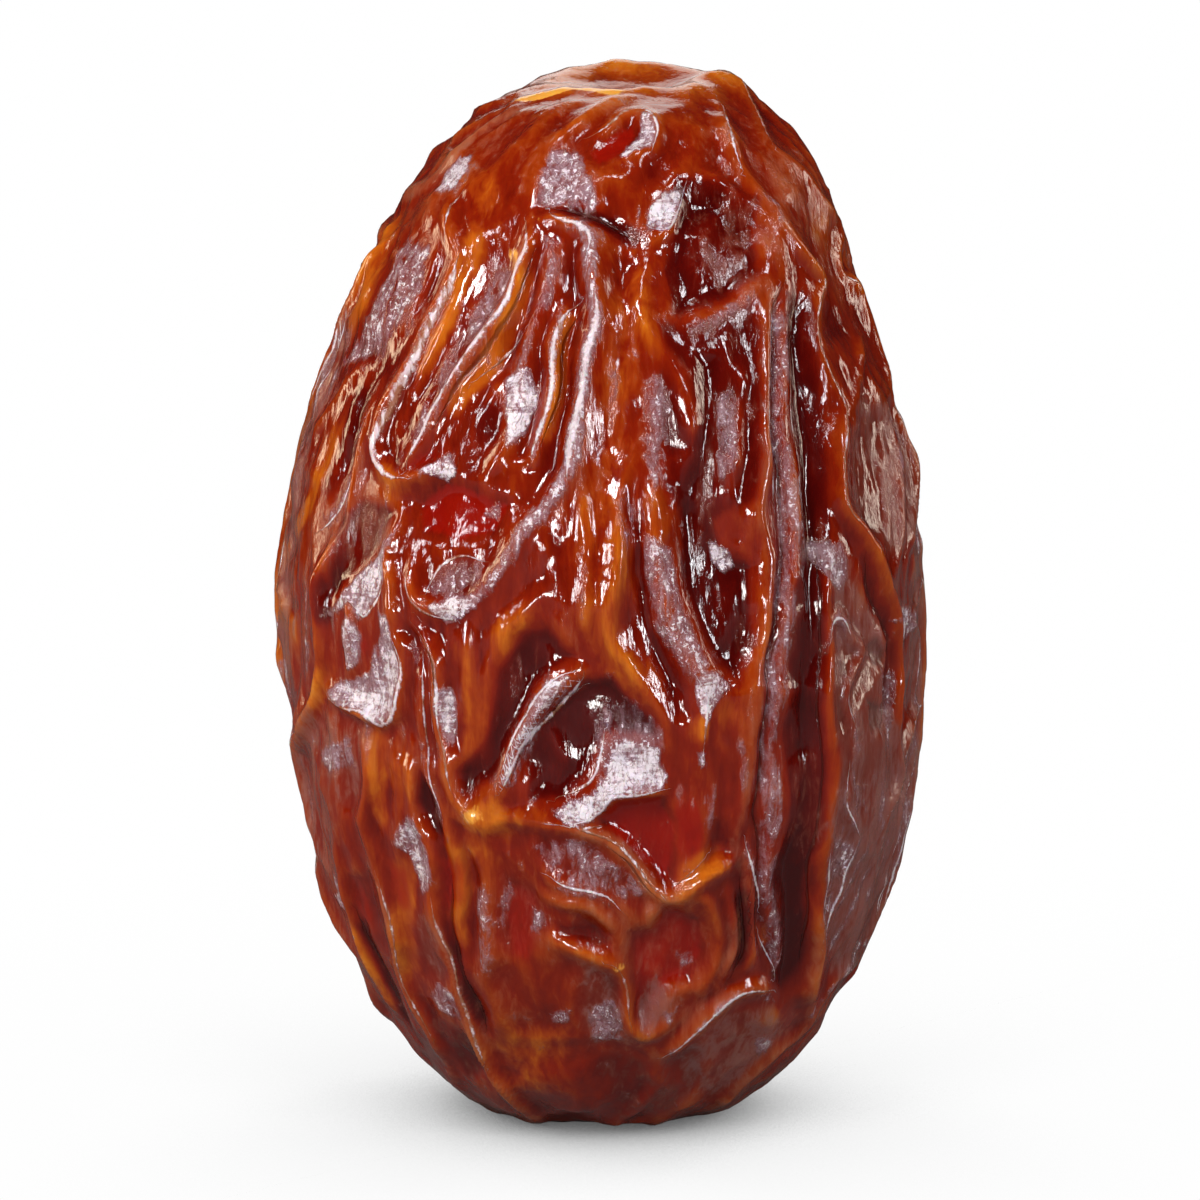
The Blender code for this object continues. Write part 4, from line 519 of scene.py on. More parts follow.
PATCHES = {
    "amber": (
        (0.4, 1.6, (0, 41, 1.6, 41, 1.8, 38, 1.5, 35, 1.2, 31, 0.5, 28, -1, 26, -3, 24.2, -5, 22.8,
            -6.5, 22, -7, 23, -5.6, 24, -4, 25.8, -2.4, 28, -1, 30, -0.6, 33, -0.2, 36, 0, 39)),
        (0.6, 1.6, (-5, 4.6, -4.3, 4, -1.6, 4, -1.5, 2.6, -2.6, 2, -2.6, 0.9, -4, 1, -4.8, 2,
            -5.3, 3)),
    ),
    "red": (
        (0.9, 0.6, (-0.8, 45.2, 0.2, 46, 1.1, 46.7, 1.4, 46, 0.6, 45.2, -0.4, 44.6)),
        (1.0, 0.7, (-8.8, 28.7, -7.6, 29.5, -6.2, 29.4, -4.5, 28.6, -5.2, 27.4, -7.2, 27.1,
            -8.6, 27.5)),
        (1.0, 0.7, (-0.3, 14, 0.6, 14.7, 2.6, 14.9, 3, 13.5, 3.2, 11.7, 3, 10.9, 1.9, 11.6, 0.3, 13)),
        (0.8, 0.8, LOW_BOWL),
        (0.6, 0.9, LEFT_BOWL),
        (0.4, 0.6, (-11.9, 11, -11, 11, -10.8, 9.2, -11.3, 8.6, -11.8, 9.6)),
        (0.5, 0.8, (-9.6, 30.8, -7.6, 31.6, -7.4, 30.8, -9, 30.2)),
    ),
    "wine": (
        (0.5, 1.2, (-2, 2.2, 0, 2.7, 2.5, 2.5, 4.5, 3.7, 4.8, 1.5, 3, 0.3, 0, -0.5, -1.6, 0.2,
            -1.2, 1)),
        (0.5, 0.7, SMALL_TROUGH),
        (0.9, 0.7, LEFT_SLIT),
        (1.0, 1.3, (3.4, 43.9, 5.5, 44, 7, 43, 6.8, 41.3, 7, 39.6, 5.5, 38.4, 3.6, 37.8, 2.8, 39.6,
            3.4, 41.6)),
        (0.9, 1.0, (-0.8, 20.4, 0.3, 20.6, 2, 18.6, 2.2, 18, 0, 17.8, -1, 16, -2.2, 14.8, -3.6, 15,
            -3.6, 16.6, -2.6, 18.6)),
        (0.8, 1.1, LONG_BOWL),
        (0.7, 1.0, (4.4, 35.6, 5, 35.5, 4.9, 32, 5, 29, 5.6, 26.5, 6.8, 25.8, 7, 22, 6.3, 20.5,
            5.3, 21.2, 4.5, 22.8, 3.9, 24.6, 3.7, 28, 4.3, 31.5)),
        (0.8, 0.9, (-12.6, 28, -11.4, 28.8, -10.1, 28.2, -11.2, 26.4, -12.3, 25, -13, 24.5)),
        (0.75, 1.2, (2.4, 37.2, 4.6, 37.4, 7, 38.4, 7.3, 34, 7, 29, 5, 27.6, 3.2, 28.4, 2.5, 31,
            2.3, 34)),
        (0.6, 0.9, (-8.8, 5.1, -7.5, 4.4, -6.5, 3.4, -5.4, 2, -6.2, 1.4, -7.8, 3)),
        (1.0, 0.4, RIGHT_PIT),
        (0.9, 0.5, (12.2, 19.4, 13.2, 19.2, 13, 18.2, 12.3, 18)),
        (0.9, 0.4, (10.9, 21.3, 11.5, 21.3, 11.4, 20.7, 11, 20.7)),
    ),
    # Brown-lilac patches: partly the skin's dull brown, partly painted sheen of reflected light on the
    # lower and right side
    "umber": (
        (0.75, 1.4, (10.8, 26.5, 12.6, 24, 13.4, 22, 13.4, 18.6, 15, 18, 14.6, 15, 13.4, 11, 12, 7.5,
            10.4, 6, 9.9, 9, 10.2, 14, 10.4, 18, 10.4, 21)),
        (0.65, 1.3, (11.6, 34.5, 13, 33.5, 14.4, 31, 14.8, 27, 13, 26, 12, 28, 11.4, 31)),
        (0.55, 1.2, (-9, 9.6, -7.8, 9.4, -7.2, 6.6, -7.6, 6, -9, 7.2)),
        (0.45, 1.4, (-14, 20, -12.4, 18.4, -11.4, 17.8, -11.4, 15.4, -12.6, 12, -12.6, 8, -11, 6,
            -12.4, 9, -13.6, 12, -14.4, 16)),
        (0.6, 1.2, (-1.4, 7.4, 0.3, 6.8, 1.1, 4.6, 1, 3.2, -0.9, 3, -1.4, 5)),
        (0.6, 1.2, (3.4, 2.9, 5.4, 4.6, 7.8, 5.3, 8.4, 4, 7, 2.4, 5, 0.6, 3.6, 1.2)),
        (0.5, 1.0, (1.6, 6.1, 3.2, 5.9, 3.9, 5.2, 2.6, 4, 1.7, 4)),
    ),
    # Bloom patches: partly the skin's loose pale bloom, partly painted reflections of the lights
    "bloom": (
        (0.7, 0.5, (-2.4, 45.2, -1.1, 45.1, -0.9, 44.3, -0.4, 43.6, -0.3, 42.8, -0.8, 42.3, -1.7, 42.5,
            -3.2, 42.7, -2.9, 44)),
        (0.85, 0.4, (1.5, 47, 2.1, 46.8, 2.4, 45.9, 2.2, 45.3, 1.2, 45.1, 0.3, 44.8, 0.9, 45.6,
            1.5, 46.2)),
        (1.0, 0.3, (2.6, 43.4, 3.8, 43.6, 3.5, 42.6, 3.1, 41.6, 2.1, 41.9, 2.1, 42.8)),
        (0.95, 0.4, (-7.8, 43.2, -7.4, 44.3, -6.6, 45, -6, 45.2, -6.3, 44.2, -6.9, 43.2)),
        (0.6, 0.7, (-9.2, 41.3, -8.2, 40.5, -8.5, 38.5, -9.6, 37, -10.6, 35.6, -12.6, 35, -11.6, 36.6,
            -10.8, 38.3, -9.9, 40)),
        (0.5, 0.4, (-5.4, 40, -5.7, 38.8, -6.6, 37, -8, 34.5, -9.1, 31.9, -8.8, 31.4, -7.8, 33.2,
            -6.4, 35.6, -5.1, 37.8, -4.3, 39.6)),
        (0.95, 0.4, (-4.9, 34.6, -3.7, 35, -3.3, 33.5, -3.8, 32.2, -4.6, 31.5, -4.8, 33)),
        (1.0, 0.4, (-8.1, 23.9, -7.2, 24.4, -6.3, 24.5, -6, 23.9, -6.7, 23.1, -7.4, 23.1)),
        (0.7, 0.4, (-5.8, 28.3, -4.7, 29.1, -5, 27.7)),
        (0.9, 0.4, (-8.8, 30.2, -7.2, 31.2, -7, 30.1, -7.5, 29.6)),
        (0.5, 0.5, (-8.3, 24.6, -7.8, 25.8, -6.8, 26.4, -5.8, 26, -5.9, 25.2, -6.9, 24.6, -7.8, 24.1)),
        (0.85, 0.4, (-9.6, 27.8, -10.1, 26.3, -10.3, 25.2, -10.6, 24.2, -11.2, 23.4, -11.6, 23.2,
            -11.9, 24, -13.2, 23.4, -12.3, 24.6, -11.8, 25.4, -11, 26.2)),
        (0.75, 0.4, (-12.6, 23, -12, 23.4, -11.5, 22.5, -11.7, 21.3, -12.3, 20.8, -12.6, 22)),
        (0.8, 0.4, (-10.6, 23.5, -10, 23.3, -9.9, 22.3, -9.4, 20.6, -9.9, 19.1, -10.4, 18.3,
            -10.9, 18.2, -11.3, 18.9, -12.2, 19.1, -13.1, 19.9, -12.6, 20.3, -11.2, 20.8, -11, 22,
            -10.6, 22.6)),
        (1.0, 0.3, (-13, 19.8, -12.4, 20.1, -10.6, 19.6, -10.4, 18.4, -11, 18.3, -11.5, 18.9,
            -12.4, 19.1)),
        (0.7, 0.4, (-7.9, 20, -7.3, 20, -7, 19.3, -6.85, 18, -7, 17.2, -7.3, 17, -7.6, 18,
            -7.9, 18.7)),
        (0.85, 0.35, (-1.5, 20.9, -2.6, 20.4, -3.2, 19.6, -4, 18, -4.6, 16.8, -5, 15.4, -4.5, 15.8,
            -3.8, 17.4, -3.1, 18.7, -2, 20)),
        (0.6, 0.6, (-13.6, 17.2, -12.8, 17.4, -12.4, 17.7, -12, 17.5, -12, 16.3, -12.9, 16,
            -13.3, 16.4)),
        (0.75, 0.5, (-9, 14.5, -8.8, 13.8, -8.3, 13, -8, 12, -7.9, 11, -8.3, 10.4, -8.7, 10.3, -9, 11,
            -9.4, 12, -10, 12.6, -9.7, 13.4)),
        (1.0, 0.35, (-2.7, 14.2, -1.9, 13.5, -0.9, 13.8, -0.2, 14.3, 0.4, 14.9, 1.6, 15, 2.8, 15.3,
            3.1, 16, 2.7, 16.5, 2.5, 17.3, 1.6, 17.2, 1.1, 17.6, 0.5, 17.1, 0.1, 16.1, -0.7, 15.2,
            -1.6, 14.9)),
        (0.5, 1.3, (-0.6, 16, -0.9, 17.8, 0, 19.4, 1.4, 19.6, 2.6, 18.4, 2.8, 17, 1.4, 16.4)),
        (0.65, 0.5, (1.7, 27.4, 3, 26.6, 3.8, 24, 4.3, 22, 4.9, 20.9, 4.2, 20.3, 3.6, 20.6, 2.7, 22,
            2.1, 24, 1.8, 25.6)),
        (0.85, 0.35, (4.2, 20.4, 5, 20.7, 5.9, 20.1, 5.4, 19.6, 5.1, 19, 4.9, 18.3, 4.3, 19,
            4.2, 19.8)),
        (0.9, 0.3, (4.3, 17.2, 4.75, 17.1, 4.7, 16.4, 4.4, 16.4)),
        (0.42, 0.6, (1.6, 34.6, 2.4, 34.8, 3, 33, 3.1, 31, 2.6, 29.4, 1.8, 29.6, 1.6, 32)),
        (0.6, 0.5, (5, 34, 5.9, 34.2, 6.1, 32, 5.8, 29.7, 5.1, 29.8, 5, 32)),
        (0.45, 0.6, (0.4, 29.4, 1.4, 29.3, 1.5, 27.5, 0.9, 26.2, 0.4, 27.5)),
        (0.9, 0.3, (5.1, 26.8, 5.9, 26.6, 6.2, 25.8, 5.8, 25.2, 5.3, 25.8)),
        (0.6, 0.5, (9.2, 27, 11.2, 27, 11.5, 25, 11.2, 24.3, 10.4, 24.8, 9.6, 26)),
        (0.65, 0.5, (13.4, 23, 13.8, 23.8, 14.4, 23.8, 14.7, 23, 14.3, 22.3, 13.8, 22.6)),
        (0.5, 0.6, (-3.4, 12.7, -2, 13, -0.8, 12.6, 0, 12, 1.4, 11.4, 2.1, 10.2, 1.3, 9.9, 0.2, 10.2,
            -1, 10.5, -2.3, 10.9, -2.8, 11.5)),
        (0.6, 0.5, (-0.7, 5, 0.4, 5.2, 0.9, 4.2, 0.7, 3.3, -0.5, 3.1, -0.7, 4)),
        (0.6, 0.4, (-2.8, 4.8, -1.6, 4.9, -1.5, 4.2, -2.6, 4.1)),
        (0.55, 0.4, (-3.4, 9.4, -2.5, 9.4, -2.4, 8.6, -3.6, 8.3)),
        (0.6, 0.4, (3.2, 7.4, 4, 7.5, 4.3, 6.9, 3.6, 6.3)),
        (0.5, 0.4, (2.7, 4.5, 3.4, 5.1, 3.8, 4.9, 3, 4.1)),
        (0.65, 0.4, (-12.8, 10.3, -12.3, 10.1, -12, 9.1, -12.5, 9.4)),
        (0.65, 0.5, (-8.1, 6.3, -7, 5.8, -6.5, 4.5, -7, 4.5, -7.8, 4.9, -8.4, 5.4)),
        (0.55, 0.4, (7, 5.7, 7.8, 5.7, 8, 5.2, 7.3, 5.1)),
        (0.5, 0.5, (7, 3.4, 7.8, 3.6, 7.6, 2.8, 7.1, 2.7)),
        (0.55, 0.5, (10.3, 12.9, 11.6, 12.6, 11.2, 11.4, 10.5, 11)),
    ),
}

# Thin lines of painted highlight along the crests, and thin dark ones of painted shade in the creases:
# strength, half width and the line
GLINTS = (
    (1.3, 0.19, (-6.9, 40.1, -7.2, 39, -8, 37.3, -8.9, 35.4, -9.6, 33.9, -10.3, 32.4, -10.6, 31.3,
        -10.4, 30.5, -9.9, 30, -9.2, 29.9)),
    (0.8, 0.13, (-6.4, 43.3, -7, 42.4, -7.4, 41.1)),
    (1.2, 0.16, (-3.6, 41.9, -3.7, 40.5, -4.15, 39.6, -4.5, 38.35, -5.85, 36.3, -7.05, 34.5,
        -8.15, 32.8, -9.2, 30.4)),
    (0.7, 0.1, (-3.9, 36.8, -4.9, 35.7, -6.2, 34.3)),
    (1.2, 0.15, (-1.45, 38.2, -2, 37.7, -2.3, 36.3, -2.65, 34, -2.8, 32.9, -3.3, 31.7, -3.55, 30.7)),
    (1.2, 0.17, (-2.5, 42.3, -2.2, 41.85, -1.4, 41.5, -0.85, 41.05, -0.8, 40.3)),
    (1.3, 0.22, (-0.5, 38.6, -0.5, 37.3, -0.8, 35.7, -1.2, 33.7, -1.55, 31.7, -1.7, 30.1)),
    (0.9, 0.14, (-1, 20.9, -1.1, 20.5, -2.1, 19.2, -3.3, 18, -4.1, 16.8, -4.9, 15.2)),
    (0.8, 0.1, (-1.3, 20.9, -2.2, 20.6, -3, 19.8, -3.8, 18.6, -4.5, 17.1, -5.1, 15.6)),
    (0.9, 0.12, (-9, 26, -9.1, 25, -9, 24.2, -8.6, 23.8, -8, 23.5, -7, 23.2)),
    (0.8, 0.12, (-8.3, 24.6, -7.8, 25.8, -6.8, 26.4, -5.8, 26)),
    (0.8, 0.12, CROWN_LOOP),
    (0.9, 0.12, (2.1, 41.9, 3.1, 41.7, 3.5, 42.6, 3.85, 43.6)),
    (0.8, 0.12, (-4.2, 47.8, -3, 48.2, -1.2, 48.6, 0.5, 48.4)),
    (0.7, 0.12, (5.1, 47.8, 5.7, 45.8, 6.4, 44.2)),
    (0.7, 0.14, (3.4, 48.7, 5, 48.4, 6, 48, 7, 47.1, 7.8, 45.4)),
    (0.7, 0.12, (-10.9, 32.6, -11.5, 31.2, -12, 29.8, -12.8, 28.2, -13.6, 27.4)),
    (0.75, 0.12, (7.9, 38.8, 7.6, 36, 7.55, 33, 7.75, 30.3, 7.9, 28.2)),
    (0.6, 0.12, (9.1, 38.5, 8.8, 36, 8.75, 33, 9.15, 30, 9.3, 27.5)),
    (0.7, 0.12, (9.8, 39.5, 10.1, 38.8, 9.75, 37.5, 9.9, 36, 10.4, 34.4, 11, 33.2, 10.9, 31.6,
        10.9, 30.3, 11.2, 28.8, 11.9, 27.5)),
    (0.8, 0.13, (10.2, 12.5, 10.3, 11, 10.15, 9.6, 9.9, 8)),
    (0.9, 0.12, (11.6, 13, 11.1, 11.5, 10.9, 10.5, 10.5, 9.3, 10.1, 8.1)),
    (0.9, 0.12, FOOT_LOOP + (7, 5.8, 8, 5.8)),
    (0.8, 0.12, (6.5, 12.7, 6.8, 11.8, 7.2, 10.7, 7.3, 9.6)),
    (0.8, 0.1, (7.3, 8.4, 7.4, 7.9, 7.7, 7.3, 8.1, 6.5)),
    (0.8, 0.12, (10.2, 22, 10.5, 23, 11.1, 23.2, 11.5, 22.5)),
    (0.7, 0.12, (11.4, 20.4, 11.3, 19.4, 11.5, 18.2)),
    (0.7, 0.1, (11, 16.2, 10.9, 15, 11, 14.2, 11.5, 13.2)),
    (0.8, 0.12, (0.1, 17.9, -0.1, 17, -0.5, 16, -1.4, 15.3, -2.5, 14.8)),
    (0.9, 0.14, (-1.9, 13.6, -0.9, 13.9, -0.2, 14.4, 0.4, 15, 1.5, 15, 2.8, 15.3)),
    (0.7, 0.12, (-2.5, 13.7, -1.2, 13.4, 0, 12.9, 1, 12.1, 1.9, 11.2, 2.6, 10.4)),
    (0.8, 0.12, (-2.8, 11.4, -2, 10.9, -1, 10.6, 0.2, 10.1, 0.8, 9.4)),
    (0.8, 0.12, (3.4, 10.9, 4, 11.4, 4.7, 12.1)),
    (0.8, 0.12, (0.1, 7.2, 0.5, 7, 0.8, 6.2, 1.1, 5.1, 1.3, 4.1)),
    (0.7, 0.12, (-8, 10, -7.5, 8.6, -7, 7, -6.6, 5.4, -6, 3.9, -5.3, 2.4)),
    (0.6, 0.1, (-10.5, 11, -10.1, 9.5, -9.8, 8, -9.6, 6.5, -8.9, 5, -8.1, 3.5)),
    (0.8, 0.12, (-10.2, 25.9, -10.3, 25, -10.6, 24.1, -11.3, 23.3, -11.9, 23.9)),
    (0.9, 0.15, (-9.9, 22.3, -9.4, 20.7, -9.9, 19.1, -10.6, 18.2, -11.3, 18.8, -12.3, 19,
        -13.1, 19.8)),
    (0.7, 0.12, (-8.9, 23, -8.3, 22, -7.9, 20.2, -7.7, 18, -7.3, 16.3, -6.9, 15)),
    (0.6, 0.1, (-8.6, 21.6, -8.5, 19.6, -8.4, 17.6, -8, 15.4, -7.6, 13.8)),
    (0.7, 0.14, (4.3, 20.3, 4.8, 19.4, 4.7, 18.2, 4.6, 17)),
    (0.6, 0.12, RIGHT_EDGE_FOLD),
)
# Painted shade: thin dark lines in the creases
CREASE_SHADE_LINES = (
    (0.6, 0.13, (8.2, 39, 7.8, 37.5, 7.75, 35, 7.75, 32.5, 8, 30.3, 8.25, 28.3, 8.25, 26, 8.15, 24.5,
        7.95, 22.5) + SEAM_FOOT),
    (0.9, 0.16, CROWN_CREASE),
    (1.0, 0.12, (-1, 20.2, -1.9, 19.5, -3, 18.3, -3.8, 17.1, -4.5, 15.6)),
    (0.9, 0.14, (-3.4, 40.3, -3.8, 39.1, -4.3, 38, -5.6, 35.8, -6.8, 34.1, -7.9, 32.4)),
    (0.8, 0.12, (-1.3, 38, -1.8, 36.8, -2.1, 35, -2.45, 33, -3, 31.4)),
    (0.8, 0.14, (6.5, 11, 6.5, 9, 6.4, 7.3, 5.9, 6.2)),
    (0.9, 0.16, (-7.4, 11, -7.1, 9, -6.8, 7.4, -6.4, 6.2, -6, 5, -5.6, 3.9)),
    (0.9, 0.16, LEFT_FOOT_CREASE),
    (0.9, 0.14, RIM_CREASE),
    (0.8, 0.12, (0, 12.5, 1.1, 11.7, 1.9, 10.8, 2.6, 10.1)),
    (0.6, 0.15, (10, 26.4, 9.9, 24, 9.95, 22, 9.8, 20, 9.8, 18, 9.8, 15, 9.7, 13, 9.5, 11, 9.5, 9,
        9.3, 7)),
    (0.8, 0.12, (-10.8, 37.6, -10.2, 38.8, -9.8, 40)),
    (0.7, 0.12, (-7.6, 29.6, -7.1, 30, -6.9, 31)),
    (0.8, 0.12, (-8.9, 22.6, -8.2, 21.4, -7.9, 19.6)),
)

# How far off a thin line is known, in millimetres and in half widths, and how its ends taper
LINE_REACH = 1.0
LINE_FAR = 8.0
LINE_TIP = 0.15
LINE_TAPER = 1.6

# A stroke is full across its middle, slopes off to its reach and is weaker at its ends
STROKE_REACH = 1.6
STROKE_FULL = 1.3
STROKE_SLOPE = 0.8
STROKE_TIP = 0.3

# The picture: a long lens a little above the fruit, which looks at its middle
LENS = 189.9
SENSOR = 36.0
CLIP_METRES = (0.01, 20.0)

# Softboxes: name, angle from the front, angle up, distance, width, height, watts and tint. The
# even light from all round adds a little to them
SOFTBOXES = (
    ("key_light", -30, 42, 330, 60, 70, 0.72, (1.0, 0.985, 0.98)),
    ("top_light", 10, 60, 360, 60, 40, 0.14, (0.96, 0.97, 1.0)),
    ("left_high_light", -62, 24, 330, 30, 70, 0.16, (0.97, 0.97, 1.0)),
    ("left_low_light", -50, 5, 330, 30, 60, 0.22, (1.0, 0.98, 0.97)),
    ("right_high_light", 46, 30, 330, 30, 80, 0.22, (0.95, 0.96, 1.0)),
    ("right_low_light", 58, 6, 330, 30, 80, 0.24, (0.95, 0.96, 1.0)),
    ("low_front_light", -6, 3, 330, 60, 26, 0.22, (1.0, 0.97, 0.94)),
    ("left_edge_light", -105, 12, 330, 50, 200, 0.3, (1.0, 0.78, 0.52)),
    ("right_edge_light", 105, 15, 330, 50, 200, 0.24, (1.0, 0.86, 0.72)),
    ("back_light", 180, 30, 360, 150, 200, 0.14, (1.0, 0.95, 0.9)),
)
SURROUND = 0.02

# Floor: how white it is to the fruit, and its painted shadow: how dark it shows deep under the
# fruit, how fast the shade clears as the sky opens up, how far off the fruit still shades it, and
# how the open share of the sky is bent and sampled
FLOOR_SIZE = 6000.0
FLOOR_WHITE = 0.16
FLOOR_DARKEST = 0.92
FLOOR_CLEARING = 7.0
SHADE_REACH = 48.0
SHADE_BEND = 2.0
SHADE_SAMPLES = 4

# Colours of the skin, as linear red, green and blue. The tones run from the hollows to the ridges,
# partly the skin's own colour and partly painted shade in the valleys
TONES = (
    (0.0, (0.055, 0.0008, 0.0005)),
    (0.2, (0.115, 0.003, 0.0008)),
    (0.38, (0.21, 0.0105, 0.0012)),
    (0.55, (0.32, 0.04, 0.0025)),
    (0.76, (0.53, 0.128, 0.006)),
    (1.0, (0.72, 0.27, 0.02)),
)
GOLD = (0.80, 0.36, 0.05)
BRIGHT_RED = (0.27, 0.004, 0.0008)
# Brown-lilac of the umber patches, partly painted sheen
UMBER_AND_SHEEN = (0.18, 0.055, 0.036)
TAN = (0.34, 0.13, 0.07)
# Painted sheen: the warm haze of reflected light
SHEEN_HAZE = (0.34, 0.13, 0.08)
# Lilac of the bloom and of its painted sheen
LILAC = (0.34, 0.195, 0.235)
# White of the painted highlights
PALE = (0.9, 0.8, 0.85)
# Painted shade of the thin crease lines
PAINTED_CREASE_SHADE = (0.04, 0.004, 0.002)

# The skin's noises run in spaces that are drawn out along the fruit or round it. Spaces: units to a
# metre of x, y and z. Noises: space, features to a unit, detail, roughness and distortion
SPACES = {
    "even": (1000, 1000, 1000),
    "drawn": (1000, 1000, 420),
    "long": (1000, 1000, 160),
    "wide": (450, 450, 2600),
}
NOISES = {
    "broad": ("even", 0.13, 2.0, 0.5, 0.0),
    "middle": ("drawn", 0.7, 3.0, 0.6, 0.5),
    "small": ("drawn", 2.4, 4.0, 0.62, 0.6),
    "tiny": ("even", 5.0, 3.0, 0.6, 1.0),
    "streak": ("long", 1.7, 3.0, 0.6, 0.8),
    "hatch": ("wide", 1.0, 3.0, 0.6, 1.2),
    "cell": ("drawn", 1.5, 2.0, 0.5, 2.0),
}

# Thin threads run where a noise passes its middle: the noise, and how far off the thread fades
THREADS = {"ridge": ("small", 0.09), "crinkle": ("tiny", 0.09), "vein": ("cell", 0.022)}

# Values of the skin that are sums: where the sum starts, the weight of each part, and a ramp from
# low to high, with the values at its ends where they aren't 0 and 1. Fields kept on the mesh begin
# with laid_
SUMS = {
    "ragged": (0.0, {"middle": 1.1, "small": 0.6, "streak": 0.7}, ()),
    "amber": (0.0, {"laid_amber": 1.0, "middle": 0.8, "streak": 0.4}, (0.15, 0.9)),
    "wine": (0.0, {"laid_wine": 1.0, "ragged": 1.0}, (0.2, 0.8)),
    "red": (0.0, {"laid_red": 1.0, "ragged": 1.0}, (0.2, 0.8)),
    "umber": (0.0, {"laid_umber": 1.0, "ragged": 1.0}, (0.2, 0.85)),
    # The crest share lightens the ridges and darkens the valleys: partly the skin's own colour, partly
    # painted shade
    "tone": (0.39, {"laid_crest": 0.22, "amber": 0.26, "wine": -0.27, "broad": 0.4, "middle": 0.3,
                    "streak": 0.3, "small": 0.15, "laid_scar": 0.26}, ()),
    "reddened": (0.0, {"red": 0.75}, ()),
    "umber_and_sheen_cover": (0.0, {"umber": 0.6}, ()),
    "tanned": (0.0, {"laid_tan": 0.8, "laid_scar": 0.3, "small": 0.9, "middle": 0.8},
               (0.25, 1.0, 0.0, 0.55)),
    "gilded": (0.0, {"laid_gold": 1.0, "small": 0.8}, (0.35, 0.6)),
    # Painted shade: breaks and share of the thin dark crease lines
    "ink_breaks": (0.0, {"small": -1.5}, ()),
    "glint_breaks": (0.0, {"small": -1.4, "tiny": -1.3}, ()),
    "crease_shaded": (0.0, {"ink": 0.55}, ()),
    # Painted sheen: a haze of reflected light over much of the skin, lilac or warm brown
    "sheen_haze": (0.0, {"broad": 1.2, "middle": 0.8, "streak": 0.9, "small": 0.7, "laid_bloom": 0.5,
                   "umber": 0.3, "amber": -0.15}, (0.04, 0.5, 0.0, 0.24)),
    # The bloom's spread and veil: partly real bloom, partly painted reflection and sheen
    "bloom_and_sheen_spread": (0.0, {"laid_bloom": 0.85, "middle": 1.0, "small": 0.8, "streak": 0.9,
                      "tiny": 0.3}, ()),
    "bloom_and_sheen_veil": (0.0, {"bloom_and_sheen_spread": 1.0}, (0.24, 0.52)),
    "depth": (0.0, {"laid_bloom": 0.9, "broad": 0.8, "streak": 1.0, "small": 0.8},
              (0.1, 1.0, 0.15, 0.9)),
    "between_veins": (1.0, {"vein": -0.6}, ()),
    # Painted highlights: pale flakes in the bloom, brightest where the shine noise is high
    "highlight_flakes": (0.0, {"bloom_and_sheen_spread": 1.0, "tiny": 0.6, "crinkle": -0.1}, (0.52, 0.7)),
    "shine": (0.0, {"small": 1.6, "tiny": 1.4, "hatch": 1.8, "laid_bloom": 0.62}, (0.15, 0.8)),
    "glint_strength": (0.0, {"middle": 1.0, "streak": 0.8}, (-0.16, 0.12, 0.7, 1.0)),
    "glint_paleness": (0.0, {"small": 1.0, "streak": -0.6, "laid_bloom": 0.6}, (-0.02, 0.22)),
    "roughness": (0.085, {"bloom_and_sheen_veiled": 0.3, "sheen_haze": 0.15, "laid_scar": 0.06}, ()),
    "crumpled": (0.0, {"small": 0.1, "tiny": 0.06, "ridge": 0.02, "crinkle": 0.012, "hatch": 0.06,
                       "vein": -0.03}, ()),
    "bumps": (0.0, {"middle": 0.06, "small": 0.014, "streak": 0.03, "bloom_and_sheen_crumple": 1.0,
                    "sheen_haze_crumple": 1.2, "bloom_and_sheen_veil": 0.02, "glint": 0.05, "ink": -0.05}, ()),
}

# Values of the skin that are products
PRODUCTS = {
    "bloom_and_sheen_veiled": ("bloom_and_sheen_veil", "depth", "between_veins"),
    "flake_highlights": ("highlight_flakes", "between_veins", "shine"),
    "glinting": ("glint", "glint_strength"),
    "bloom_and_sheen_crumple": ("bloom_and_sheen_veil", "crumpled"),
    "sheen_haze_crumple": ("sheen_haze", "crumpled"),
}

# A thin line is drawn where its nearness passes from the first value to the second, and fades over
# these half widths off it
LINE_SHOWN = (0.55, 0.72)
LINE_EDGE = (0.2, 0.9)

# What is the same all over the skin. Lengths here are metres
SKIN_SURFACE = {
    "IOR": 1.46,
    "Subsurface Weight": 0.25,
    "Subsurface Scale": 0.001,
    "Subsurface Radius": (1.0, 0.25, 0.08),
    "Coat Weight": 0.25,
    "Coat Roughness": 0.03,
    "Coat IOR": 1.5,
}


def smooth(value):
    """0 below 0, 1 above 1 and an S curve between."""
    value = np.clip(value, 0.0, 1.0)
    return value * value * (3.0 - 2.0 * value)


